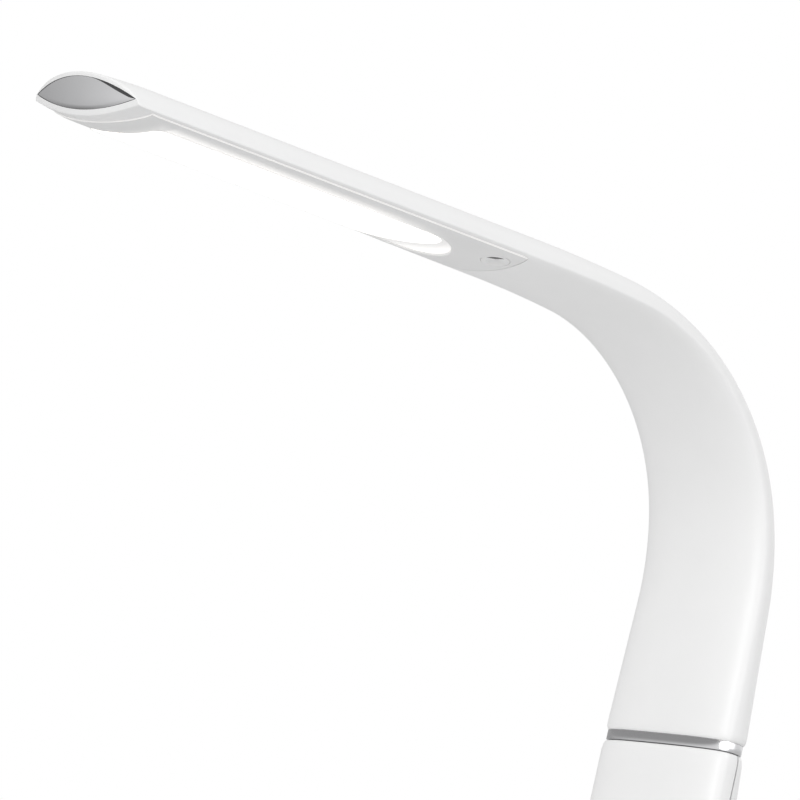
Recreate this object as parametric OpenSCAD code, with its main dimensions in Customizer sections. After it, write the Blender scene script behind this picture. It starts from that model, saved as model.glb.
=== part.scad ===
// Folding desk lamp with a swept neck, a straight lit head and a weighted base.
// Millimetres. +Z is up, the head points towards -Y and the origin is the centre
// of the sole's underside, on the desk.

/* [Centreline of the arm] */
// Lean of the stem towards the back, in degrees
stem_lean = 16; // [8:1:22]
// Distance from the fold axle to the swivel plane, along the stem
stem_length = 120; // [100:1:150]
// Straight length of the neck above the swivel plane
neck_straight = 49.5; // [40:0.5:60]
// Radius of the neck's lower bend, which brings it upright
low_bend_r = 110; // [100:1:140]
// Radius of the neck's main bend
main_bend_r = 87.5; // [75:0.5:110]
// Turn of the main bend, in degrees
main_bend_turn = 67.5; // [60:0.5:70]
// Radius of the last slow bend into the head
top_bend_r = 550; // [400:10:800]
// Turn of the last slow bend, in degrees
top_bend_turn = 4.5; // [3:0.5:6]
// Straight length of the head
head_length = 194; // [180:1:240]

/* [Arm section] */
// Half of the width at the swivel ring
ring_half_w = 35; // [33:0.5:38]
// Half of the width where the head starts
head_half_w = 30; // [29:0.5:34]
// Half of the width at the nose
tip_half_w = 29.5; // [29:0.5:33]
// Depth behind the widest line, at the ring
ring_back = 15.5; // [14:0.5:19]
// Depth above the widest line, where the head starts
head_back = 10.5; // [10:0.5:14]
// Depth above the widest line, at the nose
tip_back = 11; // [10.5:0.5:14]
// Depth in front of the widest line, at the ring
ring_front = 7; // [6.5:0.5:9]
// Depth below the widest line, where the head starts
head_front = 7; // [6.5:0.25:9]
// Depth below the widest line, near the nose
tip_front = 5.5; // [5:0.25:7]
// Wall of the arm moulding
arm_wall = 2; // [1.6:0.1:2.4]

/* [Nose] */
// How far the nose face bows forward at its middle
nose_bow = 3; // [2:0.5:6]
// Angle that the nose face stands off square, in degrees
nose_rake = 19; // [12:0.5:20]
// Length over which the lower lip rises to the nose face
lip_length = 6; // [4:0.5:9]
// Depth of the nose face below the widest line
lip_front = 4.9; // [4.4:0.1:5.2]
// How far the upper edge droops at the middle of the nose face
nose_droop = 1.1; // [0.8:0.1:1.4]
// Half of the width of the chrome leaf
leaf_half_w = 28.1; // [26:0.1:28.2]
// Height of the leaf's points above the widest line
leaf_rise = 2.1; // [1.8:0.1:2.3]
// Leaf height above its points
leaf_top = 6.4; // [5.6:0.1:6.6]
// Leaf depth below its points
leaf_bottom = 5.2; // [4.4:0.1:5.3]
// Depth of the leaf's recess
leaf_depth = 1.2; // [0.8:0.1:2]

/* [Underside panel] */
// Start of the panel, from the head's start
panel_start = 12; // [9:1:13]
// Distance from the panel's end to the end of the head
panel_margin = 7.5; // [6.5:0.5:12]
// Thickness of the panel
panel_t = 2; // [1.6:0.1:2.2]
// Panel edge, as a share of the half width
panel_share = 0.955; // [0.94:0.005:0.96]
// Start of the light window
window_start = 30; // [29:1:40]
// Distance from the light window's end to the end of the head
window_margin = 18; // [16:1:40]
// Half of the window's width, and the radius of its rear end
window_r = 22; // [18:0.5:22]
// Place of the button along the head
button_s = 19.3; // [18:0.1:20]
// Place of the button across the head
button_x = 20; // [18:0.1:21]
// Radius of the button
button_r = 5.2; // [4:0.1:5.4]
// Travel of the button
button_travel = 0.5; // [0.3:0.1:0.6]

/* [Light engine] */
// Thickness of the diffuser
diffuser_t = 1.8; // [1.2:0.1:2]
// Height of the reflector tray
tray_h = 2.4; // [2:0.1:2.6]
// Thickness of the light board
board_t = 1.4; // [1:0.1:1.6]
// Thickness of the heat spreader
spreader_t = 2; // [1:0.1:2.4]
// Half of the light board's width
board_half_w = 20.5; // [20:0.1:21]
// Number of chips in each row
chip_count = 16; // [8:1:20]

/* [Stem] */
// Wall of the stem shells
stem_wall = 2; // [1.6:0.1:2.4]
// Depth of the back cover at its top
cover_top = 15; // [14:0.5:16]
// How much deeper the back cover is at its foot
cover_flare = 9.5; // [6:0.5:12]
// Seam between the front shell and the back cover
seam = 0.3; // [0.2:0.05:0.5]
// Radius of the foot barrel
foot_r = 14.5; // [13.5:0.5:15]
// Half of the foot barrel's width
foot_half_w = 30; // [24:0.5:31]
// Width of the spine plate
spine_w = 40; // [30:1:44]
// Thickness of the spine plate
spine_t = 3; // [2:0.5:4]

/* [Swivel] */
// Height of the chrome ring
ring_h = 3.7; // [3:0.1:5]
// Inset of the chrome ring from the arm's outline
ring_inset = 1; // [0.6:0.1:1.4]
// Radius of the hollow spindle
spindle_r = 7; // [6:0.5:7.5]
// Radius of the wire passage in the spindle
spindle_bore_r = 4.5; // [3:0.5:4.5]
// Thickness of the socket plate
socket_t = 8; // [6:0.5:10]
// Thickness of the spindle's flange
flange_t = 5; // [4:0.5:7]

/* [Base] */
// Half of the base's width
base_half_w = 65; // [60:1:80]
// Half of the base's length
base_half_l = 95; // [90:1:115]
// Height of the base's side wall
base_rim = 12; // [11.5:0.5:12.5]
// Height of the base's crown
base_crown = 19; // [18:0.5:19.5]
// Wall of the base cover
base_wall = 2.2; // [1.8:0.1:2.6]
// Place of the fold axle behind the base's centre
axle_y = 55; // [50:1:58]
// Height of the fold axle above the desk
axle_z = 24; // [23.5:0.5:26]
// Radius of the fold axle
axle_r = 3; // [2.5:0.1:4]
// Thickness of the bracket's steel
bracket_t = 3; // [2:0.5:3]
// Thickness of the sole
pad_t = 1.5; // [1:0.1:2]
// Thickness of the base plate
plate_t = 2; // [1.5:0.1:2.5]
// Height of the ballast
ballast_h = 8; // [5:0.5:8.5]
// Height of the inlet above the desk
inlet_z = 8.4; // [8.3:0.1:8.6]
// Radius of the inlet's bezel bore
inlet_r = 3.9; // [3.4:0.1:3.9]

/* [Clearances] */
// Play between two fixed pieces
fit_gap = 0.2; // [0.1:0.05:0.3]
// Play between faces that turn or slide past each other
move_gap = 0.3; // [0.25:0.05:0.4]
// Radial play of a shaft that turns in its hole
turn_gap = 0.05; // [0.02:0.01:0.08]

/* [Hidden] */
$fn = 64;
eps = 0.01;

// ---- centreline -------------------------------------------------------------
head_lean = -(main_bend_turn + top_bend_turn);
rad = PI / 180;
s_low = neck_straight;
s_main = s_low + low_bend_r * stem_lean * rad;
s_top = s_main + main_bend_r * main_bend_turn * rad;
s_head = s_top + top_bend_r * top_bend_turn * rad;
s_end = s_head + head_length;

// Direction of a stretch that leans back by f degrees, as [y, z]
function along(f) = [sin(f), cos(f)];

// End of a bend of radius r that starts at p and turns forward from f0 to f1
function bend(p, r, f0, f1) = p + r * [cos(f1) - cos(f0), sin(f0) - sin(f1)];

p_low = s_low * along(stem_lean);
p_main = bend(p_low, low_bend_r, stem_lean, 0);
p_top = bend(p_main, main_bend_r, 0, -main_bend_turn);
p_head = bend(p_top, top_bend_r, -main_bend_turn, head_lean);

// Lean of the centreline at distance s above the swivel plane
function lean(s) =
    s < s_low ? stem_lean
    : s < s_main ? stem_lean - (s - s_low) / low_bend_r / rad
    : s < s_top ? -(s - s_main) / main_bend_r / rad
    : s < s_head ? -main_bend_turn - (s - s_top) / top_bend_r / rad
    : head_lean;

// Point of the centreline, as [y, z] from the middle of the swivel plane
function centre(s) =
    s < s_low ? s * along(stem_lean)
    : s < s_main ? bend(p_low, low_bend_r, stem_lean, lean(s))
    : s < s_top ? bend(p_main, main_bend_r, 0, lean(s))
    : s < s_head ? bend(p_top, top_bend_r, -main_bend_turn, lean(s))
    : p_head + (s - s_head) * along(head_lean);

panel_end = head_length - panel_margin;
window_end = head_length - window_margin;

// ---- places -----------------------------------------------------------------
foot_back = cover_top + cover_flare;
axle_n = (foot_back - ring_front) / 2;
ring_y = axle_y - axle_n * cos(stem_lean) + stem_length * sin(stem_lean);
ring_z = axle_z + axle_n * sin(stem_lean) + stem_length * cos(stem_lean);
swivel_n = (ring_back - ring_front) / 2;

// World point at distance s, x across and n behind or above the centreline
function place(s, x, n) =
    let (p = centre(s), f = lean(s))
    [x, ring_y + p[0] + n * cos(f), ring_z + p[1] - n * sin(f)];

// Frame of the stem: local z runs up the stem and local y to its back
module at_stem() {
    translate([0, ring_y, ring_z]) rotate([-stem_lean, 0, 0]) children();
}

// Frame of the head: local z runs to the nose and local y to its upper side
module at_head() {
    translate([0, ring_y + p_head[0], ring_z + p_head[1]])
        rotate([-head_lean, 0, 0]) children();
}

// Frame of the fold axle: local z runs across the lamp
module at_axle() {
    translate([0, axle_y, axle_z]) rotate([0, 90, 0]) children();
}

// Frame of the swivel axle: local z runs up the stem, through the spindle
module at_swivel() {
    at_stem() translate([0, swivel_n, 0]) children();
}

// ---- section ----------------------------------------------------------------
function mix(a, b, t) = a + (b - a) * t;

// How far the neck has changed from the ring's section to the head's
function change(s) = s < s_head ? sin(90 * max(s, 0) / s_head) : 1;

// How far along the head a point is
function reach(s) = s < s_head ? 0 : min((s - s_head) / head_length, 1);

function sized(s, ring, head, tip) = mix(mix(ring, head, change(s)), tip, reach(s));
function half_w(s) = sized(s, ring_half_w, head_half_w, tip_half_w);
function back_of(s) = sized(s, ring_back, head_back, tip_back);
function front_of(s) = sized(s, ring_front, head_front, tip_front);

// The section is boxy at the ring and a soft lens in the head
ring_side_power = 3;
head_side_power = 2;
ring_crown_power = 2.3;
head_crown_power = 1.67;
function side_power(s) = mix(ring_side_power, head_side_power, change(s));
function crown_power(s) = mix(ring_crown_power, head_crown_power, change(s));

// Share of the full depth that is left at the share f of the half width
function crown(s, f) =
    pow(max(1 - pow(abs(f), side_power(s)), 0), 1 / crown_power(s));

// Stations across the section: the upper side from +x to -x, then the lower side
panel_step = 0.01;
upper_f = [for (a = [0:12:180]) cos(a)];
lower_f = concat([-cos(8), -panel_share - panel_step],
                 [for (a = [-90:15:90]) panel_share * sin(a)],
                 [panel_share + panel_step, cos(8)]);

// One closed outline, with the panel's pocket taken out of its lower side
function outline(s, w, back, front, pocket, lift) = concat(
    [for (f = upper_f) [f * w, lift + back * crown(s, f)]],
    [for (f = lower_f)
        [f * w, lift - front * crown(s, f) + (abs(f) <= panel_share + eps / 10 ? pocket : 0)]]);

function full_outline(s, inset) =
    outline(s, half_w(s) - inset, back_of(s) - inset, front_of(s) - inset, 0, 0);

// ---- lofting ----------------------------------------------------------------
function quad(a, b, c, d) =
    a == d ? [[a, b, c]] : b == c ? [[a, b, d]] : [[a, b, c], [a, c, d]];

// Triangles that close a loop of m points. The pairing starts at point 0, or
// between the last and the first point where open_ends is 1.
function cap(m, first, open_ends) =
    [for (i = [0:floor((m - open_ends - 2) / 2)])
        for (t = quad(i, i + 1, m - open_ends - i - 1, (m - open_ends - i) % m))
            [for (k = t) first + k]];

function flipped(faces) = [for (f = faces) [f[2], f[1], f[0]]];

// Closed solid through loops of equal length
module loft(loops, open_ends = 0) {
    m = len(loops[0]);
    rows = len(loops);
    walls = [for (j = [0:rows - 2], i = [0:m - 1])
        for (t = quad(j * m + i, j * m + (i + 1) % m,
                      (j + 1) * m + (i + 1) % m, (j + 1) * m + i)) t];
    polyhedron(
        points = [for (l = loops) for (p = l) p],
        faces = concat(walls, flipped(cap(m, 0, open_ends)),
                       cap(m, (rows - 1) * m, open_ends)));
}

// ---- arm --------------------------------------------------------------------
foot_s = ring_h / 2;
pocket_depth = panel_t + fit_gap / 2;
s_panel_0 = s_head + panel_start;
s_panel_1 = s_head + panel_end;
bend_steps = 15;
low_steps = 4;
head_steps = 4;

function pocket(s) = s > s_panel_0 && s < s_panel_1 ? pocket_depth : 0;

neck_stations = concat(
    [foot_s, s_low / 2],
    [for (i = [0:low_steps - 1]) mix(s_low, s_main, i / low_steps)],
    [for (i = [0:bend_steps - 1]) mix(s_main, s_top, i / bend_steps)],
    [s_top, mix(s_top, s_head, 0.5), s_head]);
head_stations = concat(
    [s_panel_0 - eps],
    [for (i = [0:head_steps]) mix(s_panel_0 + eps, s_panel_1 - eps, i / head_steps)],
    [s_panel_1 + eps, s_end - lip_length]);

function outer_loop(s) =
    [for (q = outline(s, half_w(s), back_of(s), front_of(s), pocket(s), 0))
        place(s, q[0], q[1])];

function inner_loop(s) =
    [for (q = outline(s, half_w(s) - arm_wall - pocket(s) * 0.3,
                      back_of(s) - arm_wall - pocket(s) / 2,
                      front_of(s) - arm_wall - pocket(s) / 2, 0, pocket(s) / 2))
        place(s, q[0], q[1])];

// How far forward of the head's end the nose face lies at x, n
function nose_s(x, n) =
    s_end + nose_bow * (1 - pow(x / tip_half_w, 2)) + n * tan(nose_rake);

// Upper and lower edge of the nose face at the share f of its half width
lip_power = 1.1;
function nose_top(f) = tip_back * crown(s_end, f) - nose_droop * (1 - f * f);
function nose_bottom(f) = -lip_front * pow(1 - f * f, lip_power);

nose_outline = concat([for (f = upper_f) [f * tip_half_w, nose_top(f)]],
                      [for (f = lower_f) [f * tip_half_w, nose_bottom(f)]]);
nose_loop = [for (q = nose_outline) place(nose_s(q[0], q[1]), q[0], q[1])];

// Outline of the leaf: two arcs that meet in points
function leaf_outline(shrink) = concat(
    [for (f = upper_f) [f * (leaf_half_w - shrink),
        leaf_rise + (leaf_top - shrink) * (1 - f * f)]],
    [for (f = lower_f) [f * (leaf_half_w - shrink),
        leaf_rise - (leaf_bottom - shrink) * (1 - f * f)]]);

function leaf_loop(shrink, depth) =
    [for (q = leaf_outline(shrink)) place(nose_s(q[0], q[1]) - depth, q[0], q[1])];

// Opening of the moulding behind the panel, for the light engine
opening_gap = 1.5;
opening_half_w = window_r + opening_gap + 1;
opening_top = 0.4;
tray_margin = 1.5;
key_room = 10;
button_room = button_r + 1.6;

module panel_opening() {
    at_head() {
        translate([-opening_half_w, -head_front, window_start - opening_gap - 1])
            cube([2 * opening_half_w, head_front + opening_top,
                  window_end - window_start + 2 * opening_gap + 2]);
        translate([button_x - key_room, -head_front, button_s - button_room])
            cube([key_room + button_room, head_front + opening_top, 2 * button_room]);
    }
}

module arm_shell() {
    outer = concat([for (s = concat(neck_stations, head_stations)) outer_loop(s)],
                   [nose_loop, leaf_loop(0, 0), leaf_loop(0, leaf_depth)]);
    stations = concat(neck_stations, head_stations);
    last = len(stations) - 1;
    inner = [for (i = [last:-1:0]) inner_loop(stations[i])];
    color("white") difference() {
        loft(concat(inner, outer));
        panel_opening();
    }
}

module nose_inlay() {
    color("silver") loft([leaf_loop(fit_gap, leaf_depth), leaf_loop(fit_gap, fit_gap)]);
}

// ---- underside panel and button ---------------------------------------------
panel_f = [for (a = [-90:15:90]) sin(a)];

function panel_loop(s) =
    let (w = panel_share * half_w(s) - fit_gap / 2)
    concat(
        [for (f = panel_f)
            place(s, f * w, -front_of(s) * crown(s, f * w / half_w(s)) + panel_t)],
        [for (f = panel_f)
            place(s, -f * w, -front_of(s) * crown(s, f * w / half_w(s)))]);

// Surface height and slope of the underside at the button
button_share = button_x / half_w(s_head + button_s);
button_n = -front_of(s_head + button_s) * crown(s_head, button_share);
button_slope = front_of(s_head + button_s) * head_side_power / head_crown_power
    * pow(1 - pow(button_share, head_side_power), 1 / head_crown_power - 1)
    * pow(button_share, head_side_power - 1) / half_w(s_head + button_s);
button_tilt = atan(button_slope);

// Frame of the button: local z runs inward from the panel's face
module at_button() {
    at_head() translate([button_x, button_n, button_s])
        rotate([0, 0, button_tilt]) rotate([-90, 0, 0]) children();
}

button_flange_t = 1;
button_flange_r = button_r + 1;
button_flange_z = panel_t + 0.8;
plunger_r = 1.2;
plunger_end = button_flange_z + button_flange_t + 0.8;
switch_t = 0.7;
key_board_t = 1.2;
key_board_z = plunger_end + button_travel + 0.1 + switch_t;
key_post_r = 1.2;
key_post_x = -7.5;
key_post_y = 4.5;

module window_prism(grow, low, high) {
    translate([0, low, window_start + window_r]) rotate([-90, 0, 0])
        cylinder(r = window_r + grow, h = high - low);
    translate([-window_r - grow, low, window_start + window_r])
        cube([2 * (window_r + grow), high - low, window_end - window_start - window_r + grow]);
}

module head_panel() {
    color("whitesmoke") {
        difference() {
            loft([for (i = [0:head_steps])
                panel_loop(mix(s_panel_0 + fit_gap, s_panel_1 - fit_gap, i / head_steps))], 1);
            at_head() window_prism(0, -head_front - 1, head_front);
            at_button() translate([0, 0, -1])
                cylinder(r = button_r + move_gap, h = panel_t + 4);
        }
        for (side = [-1, 1])
            at_button() translate([key_post_x, side * key_post_y, panel_t - 0.5])
                cylinder(r = key_post_r, h = key_board_z - panel_t + 0.5, $fn = 24);
    }
}

module power_button() {
    dish_r = 18;
    dish_depth = 0.9;
    color("gainsboro") at_button() difference() {
        union() {
            cylinder(r = button_r, h = button_flange_z);
            translate([0, 0, button_flange_z])
                cylinder(r = button_flange_r, h = button_flange_t);
            cylinder(r = plunger_r, h = plunger_end, $fn = 24);
        }
        translate([0, 0, dish_depth - dish_r]) sphere(r = dish_r);
    }
}

module switch_board() {
    board = [[-9, -6], [3.5, 6]];
    color("seagreen") at_button() {
        translate([board[0][0], board[0][1], key_board_z])
            cube([board[1][0] - board[0][0], board[1][1] - board[0][1], key_board_t]);
        translate([-2, -2, key_board_z - switch_t]) cube([4, 4, switch_t + eps]);
    }
}

// ---- light engine -----------------------------------------------------------
tray_n = -0.8;
diffuser_n = tray_n - diffuser_t;
board_n = tray_n + tray_h;
spreader_n = board_n + board_t;
chip_size = [3, 0.7, 2.8];
chip_rows = [-7, 7];
chip_margin = 8;
board_start = window_start + 2;
board_end = window_end - 2;
spreader_inset = 4.5;

rim_t = 1;
rim_start_n = -4;
rim_end_n = -3.1;
light_seat = 1.5;

module diffuser() {
    color("lightyellow") at_head() window_prism(-rim_t - fit_gap / 2, diffuser_n, tray_n);
}

// Everything below the rim's slanting lower edge
module below_rim() {
    span = window_end - window_start;
    deep = 10;
    translate([-2 * window_r, rim_start_n, window_start])
        rotate([-atan((rim_end_n - rim_start_n) / span), 0, 0])
            translate([0, -deep, -deep]) cube([4 * window_r, deep, span + 2 * deep]);
}

module reflector_tray() {
    start = window_start - tray_margin;
    span = window_end - window_start + 2 * tray_margin;
    half = window_r + tray_margin;
    color("snow") at_head() difference() {
        union() {
            translate([-half, tray_n, start]) cube([2 * half, tray_h, span]);
            window_prism(-fit_gap / 2, rim_start_n - 1, tray_n + eps);
        }
        window_prism(-rim_t, rim_start_n - 2, tray_n);
        window_prism(-rim_t - light_seat, tray_n - 1, board_n + 1);
        below_rim();
    }
}

module led_board() {
    color("ghostwhite") at_head()
        translate([-board_half_w, board_n, board_start])
            cube([2 * board_half_w, board_t, board_end - board_start]);
}

module led_chips() {
    pitch = (board_end - board_start - 2 * chip_margin) / (chip_count - 1);
    color("khaki") at_head()
        for (row = chip_rows, i = [0:chip_count - 1])
            translate([row - chip_size[0] / 2, board_n - chip_size[1],
                       board_start + chip_margin + i * pitch - chip_size[2] / 2])
                cube(chip_size);
}

module heat_spreader() {
    half = board_half_w - spreader_inset;
    color("lightgrey") at_head()
        translate([-half, spreader_n, board_start])
            cube([2 * half, spreader_t, board_end - board_start]);
}

// ---- wires ------------------------------------------------------------------
wire_r = 1.5;
wire_sides = 8;
spindle_low = -15;
wire_end = s_head + board_start;
wire_run = 8;
wire_n_end = board_n + wire_r + fit_gap / 2;

function wire_n(s) = mix(swivel_n, wire_n_end, min(max((s - s_top) / (wire_end - s_top - wire_run), 0), 1));

function wire_loop(s) =
    [for (k = [0:wire_sides - 1])
        place(s, wire_r * cos(k * 360 / wire_sides),
              wire_n(s) + wire_r * sin(k * 360 / wire_sides))];

module arm_wire() {
    stops = concat([spindle_low + 1, 0], neck_stations,
                   [wire_end - 2 * wire_run, wire_end - wire_run, wire_end - eps]);
    color("dimgray") loft([for (s = stops) wire_loop(s)]);
}

module stem_wire() {
    low = -stem_length + core_r - fit_gap;
    color("dimgray") at_swivel()
        translate([0, 0, low]) cylinder(r = wire_r, h = spindle_low - low, $fn = 24);
}

// ---- swivel -----------------------------------------------------------------
stem_top = -ring_h / 2 - move_gap;
socket_top = stem_top - 0.8;
socket_low = socket_top - socket_t;
clip_t = 1;
clip_top = socket_low - move_gap;
clip_groove_r = spindle_r - 1;
clip_r = spindle_r + 1.8;
hub_r = spindle_r + 0.6;
hub_low = socket_top + move_gap;

module section(s, inset) {
    polygon(full_outline(s, inset));
}

module swivel_ring() {
    band_t = 2.5;
    color("silver") at_stem() translate([0, 0, -ring_h / 2])
        linear_extrude(ring_h) difference() {
            section(0, ring_inset);
            section(0, ring_inset + band_t);
        }
}

module swivel_spindle() {
    color("darkgray") difference() {
        union() {
            at_stem() translate([0, 0, foot_s + fit_gap])
                linear_extrude(flange_t) section(foot_s + flange_t, arm_wall + fit_gap);
            at_swivel() {
                translate([0, 0, hub_low]) cylinder(r = hub_r, h = foot_s + 1 - hub_low);
                translate([0, 0, spindle_low]) cylinder(r = spindle_r, h = -spindle_low);
            }
        }
        at_swivel() {
            translate([0, 0, spindle_low - 1])
                cylinder(r = spindle_bore_r, h = foot_s + flange_t + 2 - spindle_low);
            translate([0, 0, clip_top - clip_t - turn_gap])
                difference() {
                    cylinder(r = spindle_r + 1, h = clip_t + 2 * turn_gap);
                    translate([0, 0, -1]) cylinder(r = clip_groove_r, h = clip_t + 3);
                }
        }
    }
}

module swivel_clip() {
    color("gray") at_swivel() translate([0, 0, clip_top - clip_t])
        difference() {
            cylinder(r = clip_r, h = clip_t);
            translate([0, 0, -1]) cylinder(r = clip_groove_r + turn_gap, h = clip_t + 2);
        }
}

// ---- stem -------------------------------------------------------------------
foot_gap = 1;
shell_low = -stem_length + 10;
half_f = [for (a = [-90:9:90]) sin(a)];

// Depth of the back cover at level z of the stem
function cover_depth(z) = cover_top + cover_flare * sin(90 * min(max(-z / stem_length, 0), 1));

// Outline of a shell on one side of the seam, side 1 for the back
function shell_outline(w, depth, start, side) =
    [for (f = half_f) [f * w, side * (start + (depth - start) * crown(0, f))]];

module foot_cut() {
    at_axle() cylinder(r = foot_r + foot_gap, h = 4 * ring_half_w, center = true);
}

module stem_front_shell() {
    outer = shell_outline(ring_half_w, ring_front, 0, -1);
    inner = shell_outline(ring_half_w - stem_wall, ring_front - stem_wall, 0, -1);
    last = len(inner) - 1;
    color("white") difference() {
        at_stem() translate([0, 0, shell_low]) linear_extrude(stem_top - shell_low)
            polygon(concat(outer, [for (i = [last:-1:0]) inner[i]]));
        foot_cut();
    }
}

function cover_loop(z) =
    let (outer = shell_outline(ring_half_w, cover_depth(z), seam, 1),
         inner = shell_outline(ring_half_w - stem_wall, cover_depth(z) - stem_wall, seam, 1),
         last = len(inner) - 1)
    [for (q = concat(outer, [for (i = [last:-1:0]) inner[i]])) [q[0], q[1], z]];

screw_levels = [-32, -88];
screw_r = 1.25;
screw_head_r = 2.6;
screw_head_h = 1.3;

module back_screw_bore(r, start, end) {
    for (z = screw_levels)
        at_stem() translate([0, cover_depth(z) + start, z]) rotate([-90, 0, 0])
            cylinder(r = r, h = end - start, $fn = 32);
}

module stem_back_cover() {
    steps = 8;
    color("white") difference() {
        at_stem() loft([for (i = [0:steps]) cover_loop(mix(shell_low, stem_top, i / steps))], 1);
        foot_cut();
        back_screw_bore(screw_r + fit_gap, -stem_wall - 1, 1);
        back_screw_bore(screw_head_r + fit_gap, -screw_head_h, 1);
    }
}

module stem_screws() {
    for (z = screw_levels)
        color("dimgray") at_stem() translate([0, cover_depth(z), z]) rotate([90, 0, 0]) {
            translate([0, 0, 0.1]) cylinder(r = screw_head_r, h = screw_head_h - 0.1, $fn = 32);
            translate([0, 0, screw_head_h]) cylinder(r = screw_r, h = 8, $fn = 32);
        }
}

spine_n = axle_n - spine_t / 2 + 1;
core_r = 8;
axle_hole_r = axle_r + turn_gap;

module stem_frame() {
    boss_r = 3.2;
    color("slategray") difference() {
        union() {
            at_stem() translate([-spine_w / 2, spine_n, -stem_length])
                cube([spine_w, spine_t, stem_length + socket_low]);
            at_axle() cylinder(r = core_r, h = 2 * foot_half_w, center = true);
            for (z = screw_levels)
                at_stem() translate([0, spine_n, z]) rotate([-90, 0, 0])
                    cylinder(r = boss_r, h = cover_depth(z) - stem_wall - move_gap - spine_n, $fn = 32);
        }
        at_swivel() translate([0, 0, spindle_low - 1]) cylinder(r = clip_r + 1, h = -spindle_low);
        at_axle() cylinder(r = axle_hole_r, h = 4 * foot_half_w, center = true);
        for (z = screw_levels)
            at_stem() translate([0, spine_n - 1, z]) rotate([-90, 0, 0])
                cylinder(r = screw_r + turn_gap, h = foot_back, $fn = 32);
    }
}

module hinge_barrel() {
    slot_front = swivel_n - wire_r - 1;
    color("white") difference() {
        at_axle() cylinder(r = foot_r, h = 2 * foot_half_w, center = true);
        at_axle() cylinder(r = core_r + fit_gap, h = 4 * foot_half_w, center = true);
        at_stem() translate([-spine_w / 2 - fit_gap, slot_front, -stem_length])
            cube([spine_w + 2 * fit_gap, spine_n + spine_t + fit_gap - slot_front, 2 * foot_r]);
    }
}

module swivel_socket() {
    color("lightgray") difference() {
        at_stem() translate([0, 0, socket_low]) linear_extrude(socket_t)
            polygon(outline(0, ring_half_w - stem_wall - fit_gap,
                            cover_top - stem_wall - fit_gap,
                            ring_front - stem_wall - fit_gap, 0, 0));
        at_swivel() translate([0, 0, socket_low - 1])
            cylinder(r = spindle_r + turn_gap, h = socket_t + 2);
    }
}

// ---- fold hinge -------------------------------------------------------------
washer_t = 1.6;
washer_r = 9;
ear_x = foot_half_w + fit_gap + washer_t + fit_gap;
ear_r = 10;
cheek_x = foot_half_w + move_gap + 0.3;
cheek_room = 2.6;
cheek_end = ear_x + bracket_t + cheek_room + base_wall;
floor_z = pad_t + plate_t;

module hinge_bracket() {
    color("slategray") difference() {
        union() {
            for (side = [-1, 1])
                translate([side * (ear_x + bracket_t / 2), 0, 0]) {
                    translate([0, axle_y, axle_z]) rotate([0, 90, 0])
                        cylinder(r = ear_r, h = bracket_t, center = true);
                    translate([-bracket_t / 2, axle_y - ear_r, floor_z])
                        cube([bracket_t, 2 * ear_r, axle_z - floor_z]);
                }
            translate([-ear_x - bracket_t / 2, axle_y - ear_r, floor_z])
                cube([2 * ear_x + bracket_t, 2 * ear_r, 2]);
        }
        at_axle() cylinder(r = axle_hole_r, h = 4 * ear_x, center = true);
    }
}

pin_end = ear_x + bracket_t + 2.2;

module hinge_pin() {
    head_h = 2;
    color("silver") at_axle() {
        translate([0, 0, -pin_end]) cylinder(r = axle_r, h = 2 * pin_end);
        translate([0, 0, -pin_end]) cylinder(r = axle_r + 2, h = head_h);
    }
}

module hinge_washers() {
    for (side = [-1, 1])
        color("goldenrod") at_axle() translate([0, 0, side * (foot_half_w + fit_gap + washer_t / 2)])
            difference() {
                cylinder(r = washer_r, h = washer_t, center = true);
                cylinder(r = axle_hole_r, h = 2 * washer_t, center = true);
            }
}

module hinge_nut() {
    nut_t = 2;
    color("silver") at_axle() translate([0, 0, pin_end - nut_t - 0.1]) difference() {
        cylinder(r = axle_r + 3, h = nut_t, $fn = 6);
        translate([0, 0, -1]) cylinder(r = axle_r + turn_gap / 2, h = nut_t + 2);
    }
}

// ---- base -------------------------------------------------------------------
base_power = 2.6;
base_sides = 48;
cover_low = 1;
dome_span = 45;
dome_turns = 6;
wall_gap = base_wall + fit_gap;

function signed_pow(v, e) = sign(v) * pow(abs(v), e);

function base_outline(inset) =
    [for (i = [0:base_sides - 1])
        let (a = i * 360 / base_sides)
        [(base_half_w - inset) * signed_pow(cos(a), 2 / base_power),
         (base_half_l - inset) * signed_pow(sin(a), 2 / base_power)]];

function base_loop(inset, z) = [for (q = base_outline(inset)) [q[0], q[1], z]];

// Loops of the cover from its lower edge to its crown, drawn in by inset
function cover_loops(inset) = concat(
    [base_loop(inset, cover_low)],
    [for (i = [0:dome_turns])
        let (a = 90 * i / dome_turns)
        base_loop(inset + dome_span * (1 - cos(a)),
                  base_rim - inset + (base_crown - base_rim) * sin(a))]);

post_r = 4;

// How far the screw posts stand in from the base's widest and longest points
rear_post_side = 15;
rear_post_end = 67;
front_post_side = 25;
front_post_end = 35;
rear_post_x = base_half_w - rear_post_side;
rear_post_y = base_half_l - rear_post_end;
front_post_x = base_half_w - front_post_side;
front_post_y = front_post_end - base_half_l;
screw_spots = [[rear_post_x, rear_post_y], [-rear_post_x, rear_post_y],
               [front_post_x, front_post_y], [-front_post_x, front_post_y]];
base_screw_r = 1.5;
base_screw_head_r = 3;
post_top = base_rim + 1.6;

module base_slab(inset, low, height) {
    translate([0, 0, low]) linear_extrude(height) polygon(base_outline(inset));
}

module antislip_pad() {
    color("dimgray") difference() {
        base_slab(4, 0, pad_t);
        for (q = screw_spots)
            translate([q[0], q[1], -1]) cylinder(r = base_screw_head_r + 1, h = pad_t + 2);
    }
}

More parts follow.
